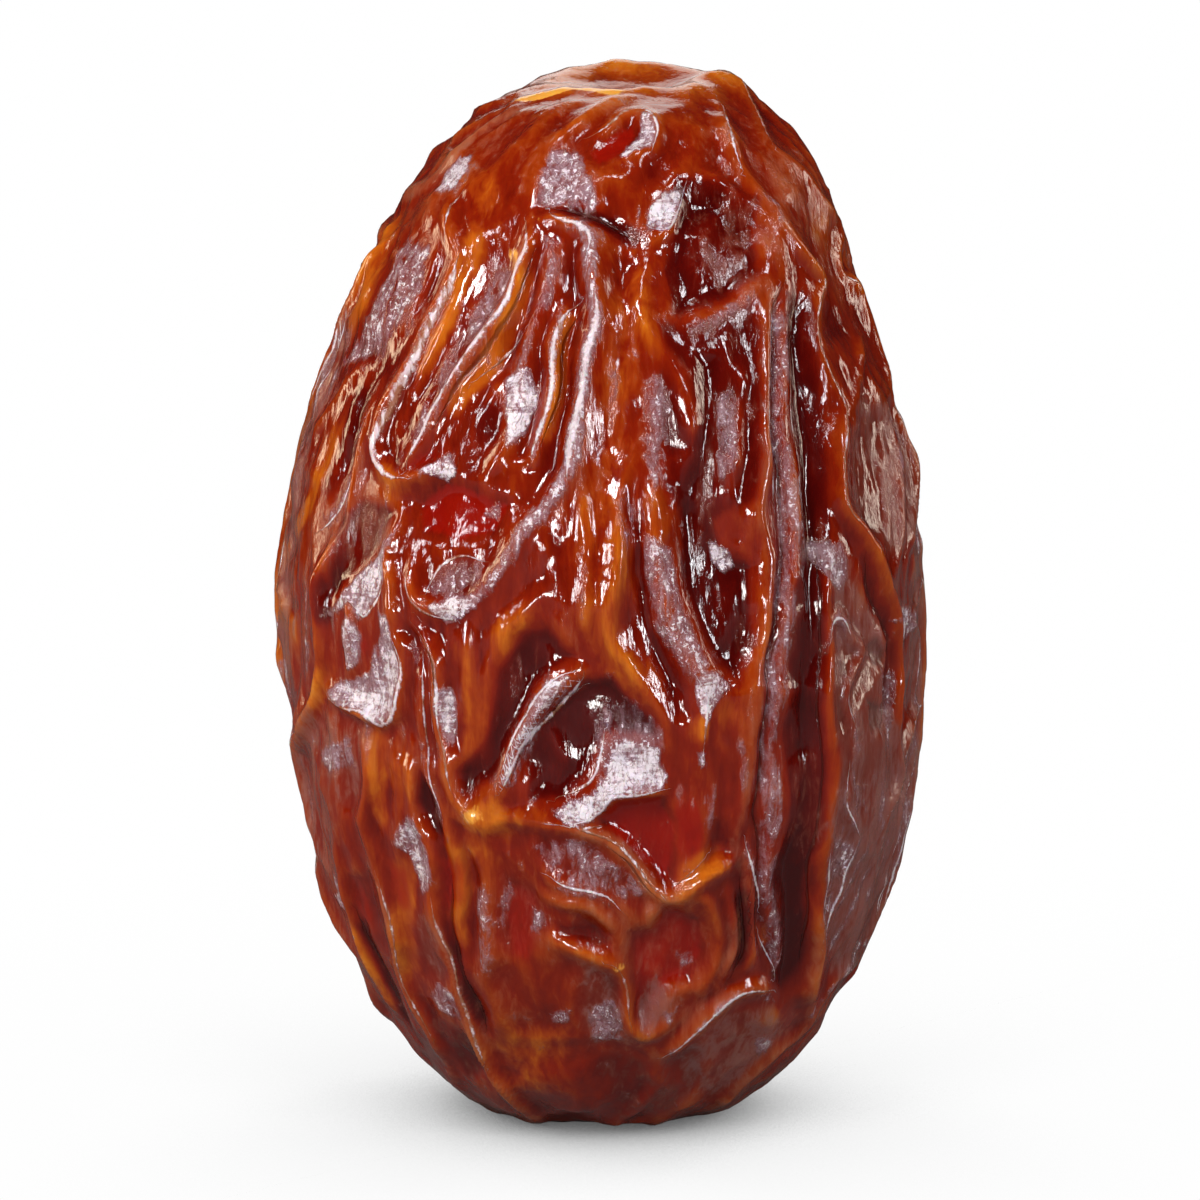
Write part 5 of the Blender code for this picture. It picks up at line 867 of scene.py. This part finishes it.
class Form:
    """The plump body without folds, as tables from the blossom end up to the crown."""

    def __init__(self):
        turn = np.linspace(0.0, math.pi, FORM_SAMPLES)
        self.level = (1.0 - np.cos(turn)) / 2.0
        bluntness = np.where(self.level > 0.5, CROWN_BLUNTNESS, FOOT_BLUNTNESS)
        fullness = (4.0 * self.level * (1.0 - self.level)) ** bluntness
        taper = 1.0 - SHOULDER_TAPER * smooth((self.level - SHOULDER_START) / SHOULDER_LENGTH)
        self.radius = GIRTH * fullness * taper
        self.height = HEIGHT * self.level - FOOT_SUNK
        steps = np.hypot(np.diff(self.radius), np.diff(self.height))
        self.rise = np.concatenate([[0.0], np.cumsum(steps)])
        above = smooth((self.level - CROWN_LEAN_START) / (1 - CROWN_LEAN_START))
        belly = BELLY_LEAN * np.exp(-(((self.level - BELLY_LEVEL) / BELLY_SPAN) ** 2))
        self.lean = CROWN_LEAN * above**CROWN_LEAN_BEND + belly

    def point(self, angle, rise):
        """The surface point at an angle from the front and a distance up the skin."""
        radius = np.interp(rise, self.rise, self.radius)
        height = np.interp(rise, self.rise, self.height)
        lean = np.interp(rise, self.rise, self.lean)
        across = radius * np.sin(angle) + lean
        deep = -DEPTH_RATIO * radius * np.cos(angle)
        return np.stack([across, deep, height], axis=-1)

    def normal(self, angle, rise):
        """The outward direction, from two short steps along the skin."""
        turn, climb = 1e-3, 0.02
        inner = np.clip(rise, 2 * climb, self.rise[-1] - 2 * climb)
        along = self.point(angle + turn, inner) - self.point(angle - turn, inner)
        up = self.point(angle, inner + climb) - self.point(angle, inner - climb)
        out = np.cross(along, up)
        return out / np.linalg.norm(out, axis=-1, keepdims=True)

    def seen(self, across, height):
        """The angle and rise of a front point that is given as (x, height) in the layout view."""
        across = np.asarray(across, float) - VIEW_AIM[0]
        height = np.asarray(height, float) - VIEW_LEVEL
        zoom = np.ones_like(across)
        level, deep = height + VIEW_AIM[2], np.full_like(across, -GIRTH / 2)
        for _ in range(VIEW_ROUNDS):
            up = VIEW_AIM[2] + (height / zoom - deep * math.sin(VIEW_TILT)) / math.cos(VIEW_TILT)
            level = (level + np.clip(up, self.height[0], self.height[-1])) / 2
            radius = np.interp(level, self.height, self.radius)
            lean = np.interp(level, self.height, self.lean)
            side = np.clip((across / zoom + VIEW_AIM[0] - lean) / radius, -1.0, 1.0)
            deep = (deep - DEPTH_RATIO * radius * np.sqrt(1.0 - side * side)) / 2
            towards = -deep * math.cos(VIEW_TILT) + (level - VIEW_AIM[2]) * math.sin(VIEW_TILT)
            zoom = VIEW_DISTANCE / (VIEW_DISTANCE - towards)
        return np.arcsin(side), np.interp(level, self.height, self.rise)


def curve_through(points):
    """More points along a smooth curve through the given x, height, x, height and so on."""
    points = np.reshape(points, (-1, 2)).astype(float)
    ends = np.vstack([2 * points[0] - points[1], points, 2 * points[-1] - points[-2]])
    share = np.linspace(0.0, 1.0, CURVE_STEPS, endpoint=False)[:, None]
    parts = []
    for before, start, stop, after in zip(ends, ends[1:], ends[2:], ends[3:]):
        slope_in, slope_out = (stop - before) / 2, (after - start) / 2
        parts.append(
            start * (1 + 2 * share) * (1 - share) ** 2
            + slope_in * share * (1 - share) ** 2
            + stop * share**2 * (3 - 2 * share)
            + slope_out * share**2 * (share - 1)
        )
    return np.vstack([*parts, points[-1:]])


def near_places(form, place, points, reach):
    """A line's angles and rises, and which places lie within reach of their box."""
    angles, rises = form.seen(points[:, 0], points[:, 1])
    angle, rise, radius = place
    around = reach / np.maximum(radius, POLE_REACH_RADIUS)
    near = (rise > rises.min() - reach) & (rise < rises.max() + reach)
    near &= (angle > angles.min() - around) & (angle < angles.max() + around)
    return angles, rises, near


def to_segment(place, start, stop):
    """Each place's gap to a straight piece, share of the way along it, its length, and the side."""
    angle, rise, radius = place
    start_x, start_y = radius * (start[0] - angle), start[1] - rise
    step_x, step_y = radius * (stop[0] - start[0]), stop[1] - start[1]
    length2 = step_x**2 + step_y**2 + TINY
    share = np.clip(-(start_x * step_x + start_y * step_y) / length2, 0.0, 1.0)
    gap = np.hypot(start_x + share * step_x, start_y + share * step_y)
    return gap, share, np.sqrt(length2), step_y * start_x - step_x * start_y


def along_line(form, place, points, reach):
    """Near a line: which places, how far off, on which side, and how far from its nearer end."""
    angles, rises, near = near_places(form, place, curve_through(points), reach)
    place = tuple(part[near] for part in place)
    nearest = np.full(len(place[0]), np.inf)
    side = np.zeros(len(place[0]))
    along = np.zeros(len(place[0]))
    walked = 0.0
    stops = list(zip(angles, rises))
    for start, stop in zip(stops, stops[1:]):
        gap, share, length, turn = to_segment(place, start, stop)
        closer = gap < nearest
        nearest[closer] = gap[closer]
        side[closer] = turn[closer]
        along[closer] = (walked + share * length)[closer]
        walked = walked + length
    return near, nearest, side, np.minimum(along, walked - along)


def fold_shape(form, place, line):
    """How high a fold stands at each place: 0 to 1 of its height, highest on its crest."""
    _, left, right, points = line
    left, right = FOLD_SPREAD * left, FOLD_SPREAD * right
    near, gap, side, to_end = along_line(form, place, points, max(left, right))
    width = np.where(side > 0, right, left)
    shape = (1.0 - LIP_SHARE) * smooth(1.0 - gap / width)
    shape += LIP_SHARE * np.exp(-((gap / LIP_WIDTH) ** 2))
    found = np.zeros(len(near))
    found[near] = shape * (END_HEIGHT + (1 - END_HEIGHT) * smooth(to_end / END_FADE))
    return found


def stroke_shape(form, place, stroke):
    """How strongly a brush stroke covers each place: 0 to 1, even across its middle."""
    _, width, points = stroke
    near, gap, _, to_end = along_line(form, place, points, STROKE_REACH * width)
    found = np.zeros(len(near))
    ends = STROKE_TIP + (1 - STROKE_TIP) * smooth(to_end / (2 * width))
    found[near] = smooth(STROKE_FULL - gap / width * STROKE_SLOPE) * ends
    return found


def patch_shape(form, place, area):
    """How deep inside an outline each place lies: 0 outside, 1 past its sloping edge."""
    _, edge, outline = area
    outline = np.reshape(outline, (-1, 2))
    angles, rises, near = near_places(form, place, np.vstack([outline, outline[:1]]), edge)
    place = tuple(part[near] for part in place)
    angle, rise, _ = place
    inside = np.zeros(len(angle), bool)
    nearest = np.full(len(angle), np.inf)
    stops = list(zip(angles, rises))
    for start, stop in zip(stops, stops[1:]):
        crosses = (start[1] > rise) != (stop[1] > rise)
        with np.errstate(divide="ignore", invalid="ignore"):
            at = start[0] + (rise - start[1]) * (stop[0] - start[0]) / (stop[1] - start[1])
        inside ^= crosses & (angle < at)
        nearest = np.minimum(nearest, to_segment(place, start, stop)[0])
    found = np.zeros(len(near))
    found[near] = smooth(0.5 + np.where(inside, nearest, -nearest) / edge)
    return found


def line_fields(form, place, lines):
    """For the nearest of some lines: how many half widths off it, and how near it is."""
    count = len(place[0])
    nearest = np.full(count, LINE_REACH)
    across = np.full(count, LINE_FAR)
    for strength, width, points in lines:
        near, gap, side, to_end = along_line(form, place, points, LINE_REACH)
        closer = np.zeros(count, bool)
        closer[near] = gap < nearest[near]
        used = closer[near]
        nearest[closer] = gap[used]
        ends = LINE_TIP + (1 - LINE_TIP) * smooth(to_end[used] / LINE_TAPER)
        off = np.copysign(gap[used], side[used]) / (width * strength * ends)
        across[closer] = np.clip(off, -LINE_FAR, LINE_FAR)
    return across, 1.0 - nearest / LINE_REACH


def laid_relief(form, place):
    """Folds, creases and hollows of the layout, at places that face it."""
    raised = np.zeros(len(place[0]))
    sunk = np.zeros(len(place[0]))
    hollow = np.zeros(len(place[0]))
    for fold in FOLDS:
        raised += (FOLD_SHARE * fold[0] * fold_shape(form, place, fold)) ** JOIN_SHARPNESS
    for crease in CREASES:
        sunk += (CREASE_SHARE * crease[0] * fold_shape(form, place, crease)) ** JOIN_SHARPNESS
    for area in HOLLOWS:
        hollow = np.maximum(hollow, HOLLOW_SHARE * area[0] * patch_shape(form, place, area))
    return raised ** (1 / JOIN_SHARPNESS), sunk ** (1 / JOIN_SHARPNESS) + hollow


def laid_colour(form, place, name):
    """How strongly one colour of the layout covers each place."""
    cover = np.zeros(len(place[0]))
    for stroke in STROKES.get(name, ()):
        cover = np.maximum(cover, stroke[0] * stroke_shape(form, place, stroke))
    for patch in PATCHES.get(name, ()):
        cover = np.maximum(cover, patch[0] * patch_shape(form, place, patch))
    return cover


def wavy(points, grain, shift=0.0):
    """Smooth noise from -1 to 1 at each point, with features of about 1 / grain millimetres."""
    offset = Vector((shift, 2 * shift, 3 * shift))
    grain = Vector((grain, grain, grain)) if np.isscalar(grain) else Vector(grain)
    return np.array([noise.noise(Vector(point) * grain + offset) for point in points])


def dented(points, depth, across, along, shift):
    """Bowls that meet in sharp ridges: up to 0.9 of the depth up and half of it down."""
    bends = [wavy(points, DENT_BEND_GRAIN, shift + further) for further in DENT_BEND_SHIFTS]
    bend = DENT_BEND * np.stack(bends)
    found = np.empty(len(points))
    for index, point in enumerate(points):
        spot = Vector((point[0] / across, point[1] / across, point[2] / along))
        gaps, _ = noise.voronoi(spot + Vector(bend[:, index]) + Vector((shift, 0.0, 0.0)))
        found[index] = gaps[0]
    return depth * (np.minimum(DENT_STEEPNESS * found**2, DENT_RIDGE) - DENT_MIDDLE)


def wander(points, shift):
    """How far the lines wander off their drawn places."""
    return LINE_WANDER * wavy(points, LINE_WANDER_GRAIN, shift)


def laid_sheets(form, points, angle, rise, radius):
    """The front layout and its two copies: places each covers, where they lie on it, and weight."""
    angle = angle + wander(points, LINE_SHIFTS[0]) / np.maximum(radius, POLE_RADIUS)
    rise = rise + wander(points, LINE_SHIFTS[1])
    front = 1.0 - smooth((np.abs(angle) - FRONT_SHEET_REACH[0]) / np.ptp(FRONT_SHEET_REACH))
    used = front > 0
    sheets = [(used, (angle[used], rise[used], radius[used]), front[used])]
    height = points[:, 2]
    warp_x, warp_y = (REAR_WARP * wavy(points, REAR_WARP_GRAIN, shift) for shift in REAR_SHIFTS)
    for centre, mirror, flipped in REAR_SHEETS:
        turned = mirror * ((angle - centre + math.pi) % (2 * math.pi) - math.pi)
        weight = 1.0 - smooth((np.abs(turned) - REAR_SHEET_REACH[0]) / np.ptp(REAR_SHEET_REACH))
        weight *= 1.0 - smooth((height - REAR_SHEET_TOP[0]) / np.ptp(REAR_SHEET_TOP))
        weight *= smooth((height - REAR_SHEET_FOOT[0]) / np.ptp(REAR_SHEET_FOOT))
        climbed = form.rise[-1] - rise if flipped else rise
        used = weight > 0
        place = (turned + warp_x / np.maximum(radius, POLE_RADIUS), climbed + warp_y, radius)
        sheets.append((used, tuple(part[used] for part in place), weight[used]))
    return front, sheets


def fold_relief(form, points, angle, radius, front, sheets):
    """How far the folds stand up and how far the hollows lie sunk, before the crown and foot."""
    raised = np.zeros(len(angle))
    sunk = np.zeros(len(angle))
    for used, place, weight in sheets:
        up, down = laid_relief(form, place)
        raised[used] = np.maximum(raised[used], weight * up)
        sunk[used] = np.maximum(sunk[used], weight * down)
    height = points[:, 2]
    bend = PLEAT_BEND * wavy(points, PLEAT_BEND_GRAIN, PLEAT_SHIFT)
    angle = angle + wander(points, LINE_SHIFTS[0]) / np.maximum(radius, POLE_RADIUS)
    pleats = (0.5 + 0.5 * np.cos(PLEATS * (angle + bend))) ** PLEAT_CREST
    at_crown = smooth((height - CROWN_PLEAT_LEVELS[0]) / np.ptp(CROWN_PLEAT_LEVELS))
    at_crown *= smooth((radius - CROWN_PLEAT_RADII[0]) / np.ptp(CROWN_PLEAT_RADII))
    at_foot = 1.0 - smooth((height - FOOT_PLEAT_LEVELS[0]) / np.ptp(FOOT_PLEAT_LEVELS))
    share = 1.0 - (1.0 - FRONT_PLEAT_SHARE) * front
    raised = np.maximum(raised, PLEAT_HEIGHT * share * pleats * np.maximum(at_crown, at_foot))
    return raised, sunk


def about_scar(points):
    """How far each place is from the scar's middle, and whether it is on the crown: 0 to 1."""
    from_scar = np.hypot(points[:, 0] - SCAR_CENTRE[0], points[:, 1] - SCAR_CENTRE[1])
    return from_scar, smooth((points[:, 2] - HEIGHT * SCAR_LEVEL) / SCAR_FADE)


def with_scar(points, radius, total):
    """The relief with the stem scar in the crown, and the flat spot kept clean of folds."""
    from_scar, on_top = about_scar(points)
    uneven = from_scar * (1.0 + SCAR_UNEVEN * wavy(points, SCAR_UNEVEN_GRAIN, SCAR_SHIFT))
    behind = points[:, 1] + SCAR_RIM_RIGHT * points[:, 0]
    climbed = smooth((behind - SCAR_RIM_CLIMB[0]) / np.ptp(SCAR_RIM_CLIMB))
    rim = SCAR_RIM_HEIGHTS[0] + climbed * np.ptp(SCAR_RIM_HEIGHTS)
    rim *= np.exp(-(((uneven - SCAR_RIM_RADIUS) / SCAR_RIM_WIDTH) ** 2))
    dimple = SCAR_DEPTH * smooth(1.0 - uneven / (SCAR_RIM_RADIUS - SCAR_DIMPLE_MARGIN))
    button = SCAR_BUTTON_HEIGHT * np.exp(-((from_scar / SCAR_BUTTON_RADIUS) ** 2))
    past_clean = smooth((from_scar - SCAR_CLEAN_RADII[0]) / np.ptp(SCAR_CLEAN_RADII))
    total = total * (1.0 - on_top * (1.0 - past_clean)) + on_top * (rim - dimple + button)
    rest = smooth((radius - REST_RADII[0]) / np.ptp(REST_RADII))
    rest = np.where(points[:, 2] < HEIGHT / 2, rest, 1.0)
    return total * rest, rest


def wrinkle_relief(points, sunk):
    """Fine wrinkles along the fruit, in drifts, and fine dents, both weaker in taut hollows."""
    total = np.zeros(len(points))
    drifts = DRIFT_MIDDLE + DRIFT_SWAY * wavy(points, DRIFT_GRAIN, DRIFT_SHIFT)
    for index, (high, across, along) in enumerate(WRINKLES):
        folded = wavy(points, (across, across, along), WRINKLE_SHIFT + index)
        ridges = 1.0 - WRINKLE_CREST * np.abs(folded)
        total += high * np.maximum(ridges, WRINKLE_FLOOR) * np.clip(drifts, *DRIFT_LIMITS)
    for index, (depth, across, along) in enumerate(FINE_DENTS):
        shift = FINE_DENT_SHIFT + DENT_SHIFT_STEP * index
        total += dented(points, depth, across, along, shift)
    return total * (1.0 - TAUT_CALM * smooth(sunk / TAUT_DEPTH))


def crest_share(mesh, total):
    """Above 0 on a crest and below 0 in a valley, against the relief evened out round it."""
    ends = np.empty(len(mesh.edges) * 2, np.int32)
    mesh.edges.foreach_get("vertices", ends)
    one, other = ends[0::2], ends[1::2]
    count = len(total)
    share = np.bincount(one, minlength=count) + np.bincount(other, minlength=count)
    even = total.copy()
    for _ in range(CREST_STEPS):
        sums = np.bincount(one, even[other], count) + np.bincount(other, even[one], count)
        even = (even + sums / share) / 2
    return np.clip((total - even) / CREST_HEIGHT, -1.0, 1.0)


def even_ball(cuts):
    """A cube whose faces are cut into a grid and blown up to a ball of near-equal squares."""
    ball = bmesh.new()
    bmesh.ops.create_cube(ball, size=2.0)
    bmesh.ops.subdivide_edges(ball, edges=ball.edges, cuts=cuts, use_grid_fill=True)
    for vertex in ball.verts:
        spread = [math.tan(part * math.pi / 4) for part in vertex.co]
        vertex.co = Vector(spread).normalized()
    return ball


def keep_field(mesh, name, values):
    """Store one number for each vertex, for the material to read."""
    field = mesh.attributes.new(name, "FLOAT", "POINT")
    field.data.foreach_set("value", values.astype(np.float32))


def lay_colours(mesh, form, points, sheets):
    """Keep the layout's colours, its painted highlight and shade lines and the scar's stain as
    fields on the skin.
    """
    count = len(points)
    for name in sorted(set(STROKES) | set(PATCHES)):
        cover = np.zeros(count)
        for used, place, weight in sheets:
            cover[used] = np.maximum(cover[used], weight * laid_colour(form, place, name))
        keep_field(mesh, name, cover)
    for name, lines in (("glint", GLINTS), ("ink", CREASE_SHADE_LINES)):
        across = np.full(count, LINE_FAR)
        shown = np.zeros(count)
        for used, place, weight in sheets:
            off, near = line_fields(form, place, lines)
            better = weight * near > shown[used]
            index = np.flatnonzero(used)[better]
            across[index] = off[better]
            shown[index] = (weight * near)[better]
        keep_field(mesh, name + "_across", across)
        keep_field(mesh, name + "_near", shown)
    from_scar, on_top = about_scar(points)
    keep_field(mesh, "scar", on_top * smooth(SCAR_STAIN_REACH - from_scar / SCAR_RIM_RADIUS))


def make_skin():
    """The skin of the whole fruit, with its colours as named fields on its vertices."""
    ball = even_ball(CUBE_CUTS)
    mesh = bpy.data.meshes.new(SKIN_NAME)
    ball.to_mesh(mesh)
    ball.free()
    directions = np.empty(len(mesh.vertices) * 3, np.float32)
    mesh.vertices.foreach_get("co", directions)
    directions = directions.reshape(-1, 3).astype(float)

    form = Form()
    polar = np.arccos(np.clip(directions[:, 2], -1.0, 1.0))
    angle = np.arctan2(directions[:, 0], -directions[:, 1])
    rise = form.rise[-1] * (1.0 - polar / math.pi)
    points = form.point(angle, rise)
    radius = np.interp(rise, form.rise, form.radius)
    front, sheets = laid_sheets(form, points, angle, rise, radius)
    raised, sunk = fold_relief(form, points, angle, radius, front, sheets)
    uneven = 1.0 + FOLD_WANDER * wavy(points, FOLD_WANDER_GRAIN, FOLD_SHIFT)
    total = SWELL_HEIGHT * wavy(points, SWELL_GRAIN, SWELL_SHIFT) + (raised - sunk) * uneven
    between = 1.0 - DENT_CALM * smooth(raised / DENT_CALM_HEIGHT)
    for index, (depth, across, along) in enumerate(DENTS):
        shift = DENT_SHIFT + DENT_SHIFT_STEP * index
        total += between * dented(points, depth, across, along, shift)
    total, rest = with_scar(points, radius, total)
    total = total + wrinkle_relief(points, sunk) * rest
    skin = points + total[:, None] * form.normal(angle, rise)
    skin[:, 2] = np.maximum(skin[:, 2], 0.0)
    mesh.vertices.foreach_set("co", (skin * METRE).astype(np.float32).ravel())
    mesh.update()
    mesh.shade_smooth()

    lay_colours(mesh, form, points, sheets)
    # The crest share also drives the tone, with painted shade in the valleys
    keep_field(mesh, "crest", crest_share(mesh, total))
    thing = bpy.data.objects.new(SKIN_NAME, mesh)
    bpy.context.scene.collection.objects.link(thing)
    return thing


def add_node(tree, kind, sockets=None, **settings):
    """Add a node, set its options, and set or link its inputs."""
    made = tree.nodes.new(kind)
    for name, setting in settings.items():
        setattr(made, name, setting)
    for name, given in (sockets or {}).items():
        if isinstance(given, bpy.types.NodeSocket):
            tree.links.new(given, made.inputs[name])
        else:
            made.inputs[name].default_value = given
    return made


def maths(tree, operation, first, second=0.0):
    """One operation on one or two values."""
    return add_node(tree, "ShaderNodeMath", {0: first, 1: second}, operation=operation).outputs[0]


def ramp(tree, value, low, high, start=0.0, stop=1.0):
    """start up to the low value, stop past the high one, and an S curve between."""
    sockets = {"Value": value, "From Min": low, "From Max": high, "To Min": start, "To Max": stop}
    return add_node(tree, "ShaderNodeMapRange", sockets,
                    interpolation_type="SMOOTHSTEP").outputs["Result"]


def blend(tree, share, first, second):
    """A mix of two colours."""
    made = add_node(tree, "ShaderNodeMix", data_type="RGBA")
    for index, given in ((0, share), (6, first), (7, second)):
        if isinstance(given, bpy.types.NodeSocket):
            tree.links.new(given, made.inputs[index])
        else:
            made.inputs[index].default_value = given if index == 0 else (*given, 1.0)
    return made.outputs[2]


def field(tree, name):
    """A field kept on the mesh."""
    return add_node(tree, "ShaderNodeAttribute", attribute_name=name).outputs["Fac"]


def fine_line(tree, name, breaks):
    """1 along the thin lines of a pair of fields, where the breaks let them through."""
    off = maths(tree, "ABSOLUTE", field(tree, name + "_across"))
    near = ramp(tree, field(tree, name + "_near"), *LINE_SHOWN)
    line = ramp(tree, maths(tree, "ADD", off, breaks), *LINE_EDGE, 1.0, 0.0)
    return maths(tree, "MULTIPLY", line, near)


class SkinValues(dict):
    """The skin's values by name. One that isn't there yet is built from the tables when asked."""

    def __init__(self, tree):
        super().__init__()
        self.tree = tree
        spot = add_node(tree, "ShaderNodeTexCoord").outputs["Object"]
        spaces = {}
        for name, stretch in SPACES.items():
            drawn = add_node(tree, "ShaderNodeVectorMath", {0: spot, 1: stretch},
                             operation="MULTIPLY")
            spaces[name] = drawn.outputs[0]
        for name, (space, scale, detail, roughness, distortion) in NOISES.items():
            sockets = {"Vector": spaces[space], "Scale": scale, "Detail": detail,
                       "Roughness": roughness, "Distortion": distortion}
            made = add_node(tree, "ShaderNodeTexNoise", sockets).outputs[0]
            self[name] = maths(tree, "SUBTRACT", made, 0.5)
        for name, (of, width) in THREADS.items():
            off = maths(tree, "ABSOLUTE", self[of])
            self[name] = ramp(tree, off, 0.0, width, 1.0, 0.0)

    def __missing__(self, name):
        if name in PRODUCTS:
            first, *others = PRODUCTS[name]
            value = self[first]
            for other in others:
                value = maths(self.tree, "MULTIPLY", value, self[other])
        elif name in SUMS:
            value, parts, limits = SUMS[name]
            for part, weight in parts.items():
                value = add_node(self.tree, "ShaderNodeMath", {0: self[part], 1: weight, 2: value},
                                 operation="MULTIPLY_ADD").outputs[0]
            if limits:
                value = ramp(self.tree, value, *limits)
        else:
            value = field(self.tree, name.removeprefix("laid_"))
        self[name] = value
        return value


def tone(tree, value):
    """The skin's own colour, from dark in the hollows to amber on the ridges."""
    made = add_node(tree, "ShaderNodeValToRGB", {"Fac": value})
    elements = made.color_ramp.elements
    for element, (position, colour) in zip(elements, (TONES[0], TONES[-1])):
        element.position = position
        element.color = (*colour, 1.0)
    for position, colour in TONES[1:-1]:
        elements.new(position).color = (*colour, 1.0)
    return made.outputs["Color"]


def skin_material():
    """Glossy skin: its own tone, partly painted shade, the laid colours, the bloom with painted
    sheen and highlights, and the painted highlight and shade lines, with fine bumps.
    """
    material = bpy.data.materials.new("date_skin")
    material.use_nodes = True
    tree = material.node_tree
    tree.nodes.clear()
    values = SkinValues(tree)
    for name in ("ink", "glint"):
        values[name] = fine_line(tree, name, values[name + "_breaks"])

    colour = tone(tree, values["tone"])
    layers = (
        ("reddened", BRIGHT_RED),
        ("umber_and_sheen_cover", UMBER_AND_SHEEN),
        ("tanned", TAN),
        ("gilded", GOLD),
        ("crease_shaded", PAINTED_CREASE_SHADE),
        ("sheen_haze", blend(tree, values["umber_and_sheen_cover"], SHEEN_HAZE, LILAC)),
        ("bloom_and_sheen_veiled", LILAC),
        ("flake_highlights", PALE),
        ("glinting", blend(tree, values["glint_paleness"], TAN, PALE)),
    )
    for name, over in layers:
        colour = blend(tree, values[name], colour, over)

    bumps = add_node(tree, "ShaderNodeBump", {"Height": values["bumps"], "Strength": 1.0,
                                              "Distance": METRE}).outputs["Normal"]
    shader = add_node(tree, "ShaderNodeBsdfPrincipled", {
        "Base Color": colour, "Roughness": values["roughness"], "Normal": bumps,
        "Coat Normal": bumps, **SKIN_SURFACE,
    }, subsurface_method="RANDOM_WALK")
    add_node(tree, "ShaderNodeOutputMaterial", {"Surface": shader.outputs[0]})
    return material


def looking(start, aim):
    """Where a thing stands that looks along its own -Z at a point."""
    turn = (Vector(aim) - Vector(start)).to_track_quat("-Z", "Y")
    return Matrix.LocRotScale(Vector(start) * METRE, turn, None)


def round_about(aim, turn, lift, distance):
    """The point at this angle from the front, angle up and distance from another point."""
    turn, lift = math.radians(turn), math.radians(lift)
    way = (math.sin(turn) * math.cos(lift), -math.cos(turn) * math.cos(lift), math.sin(lift))
    return tuple(at + distance * part for at, part in zip(aim, way))


def make_camera():
    """The camera of the photo's view."""
    camera = bpy.data.cameras.new("camera")
    camera.lens = LENS
    camera.sensor_width = SENSOR
    camera.clip_start, camera.clip_end = CLIP_METRES
    thing = bpy.data.objects.new("camera", camera)
    start = round_about(VIEW_AIM, 0.0, math.degrees(VIEW_TILT), VIEW_DISTANCE)
    thing.matrix_world = looking(start, VIEW_AIM)
    bpy.context.scene.collection.objects.link(thing)
    bpy.context.scene.camera = thing


def make_softboxes():
    """Soft rectangular lights round the fruit, all turned to its middle."""
    for name, turn, lift, distance, width, tall, watts, tint in SOFTBOXES:
        light = bpy.data.lights.new(name, "AREA")
        light.shape = "RECTANGLE"
        light.size = width * METRE
        light.size_y = tall * METRE
        light.energy = watts
        light.color = tint
        thing = bpy.data.objects.new(name, light)
        thing.matrix_world = looking(round_about(VIEW_AIM, turn, lift, distance), VIEW_AIM)
        bpy.context.scene.collection.objects.link(thing)


def make_world():
    """White behind the scene, and a dimmer even light round the fruit."""
    world = bpy.data.worlds.new("studio")
    world.use_nodes = True
    tree = world.node_tree
    tree.nodes.clear()
    seen = add_node(tree, "ShaderNodeLightPath").outputs["Is Camera Ray"]
    strength = ramp(tree, seen, 0.0, 1.0, SURROUND, 1.0)
    back = add_node(tree, "ShaderNodeBackground", {"Color": (1, 1, 1, 1), "Strength": strength})
    add_node(tree, "ShaderNodeOutputWorld", {"Surface": back.outputs[0]})
    bpy.context.scene.world = world


def make_floor():
    """A white floor that shows as paper white, with a painted shadow round the fruit, but throws
    only a modest light up at the fruit.
    """
    floor = bmesh.new()
    bmesh.ops.create_grid(floor, x_segments=1, y_segments=1, size=FLOOR_SIZE / 2 * METRE)
    mesh = bpy.data.meshes.new("floor")
    floor.to_mesh(mesh)
    floor.free()
    material = bpy.data.materials.new("floor")
    material.use_nodes = True
    tree = material.node_tree
    tree.nodes.clear()
    seen = add_node(tree, "ShaderNodeLightPath").outputs["Is Camera Ray"]
    paper = add_node(tree, "ShaderNodeBsdfDiffuse", {"Color": (*[FLOOR_WHITE] * 3, 1.0)})
    # Painted shadow: the floor shows darker where the fruit hides the sky from it
    open_sky = add_node(tree, "ShaderNodeAmbientOcclusion", {"Distance": SHADE_REACH * METRE},
                        samples=SHADE_SAMPLES).outputs["AO"]
    opened = maths(tree, "MULTIPLY", maths(tree, "POWER", open_sky, SHADE_BEND), -FLOOR_CLEARING)
    painted_shadow = maths(tree, "MULTIPLY", maths(tree, "EXPONENT", opened), FLOOR_DARKEST)
    shown = maths(tree, "SUBTRACT", 1.0, painted_shadow)
    glow = add_node(tree, "ShaderNodeEmission", {"Strength": shown})
    both = add_node(tree, "ShaderNodeMixShader", {0: seen, 1: paper.outputs[0],
                                                  2: glow.outputs[0]})
    add_node(tree, "ShaderNodeOutputMaterial", {"Surface": both.outputs[0]})
    mesh.materials.append(material)
    thing = bpy.data.objects.new("floor", mesh)
    bpy.context.scene.collection.objects.link(thing)


def main():
    """Build the whole scene."""
    bpy.context.scene.view_settings.view_transform = "Standard"
    make_camera()
    make_world()
    make_softboxes()
    make_floor()
    skin = make_skin()
    skin.data.materials.append(skin_material())
    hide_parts(FRUIT_NAME)
    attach(skin, "root")


main()
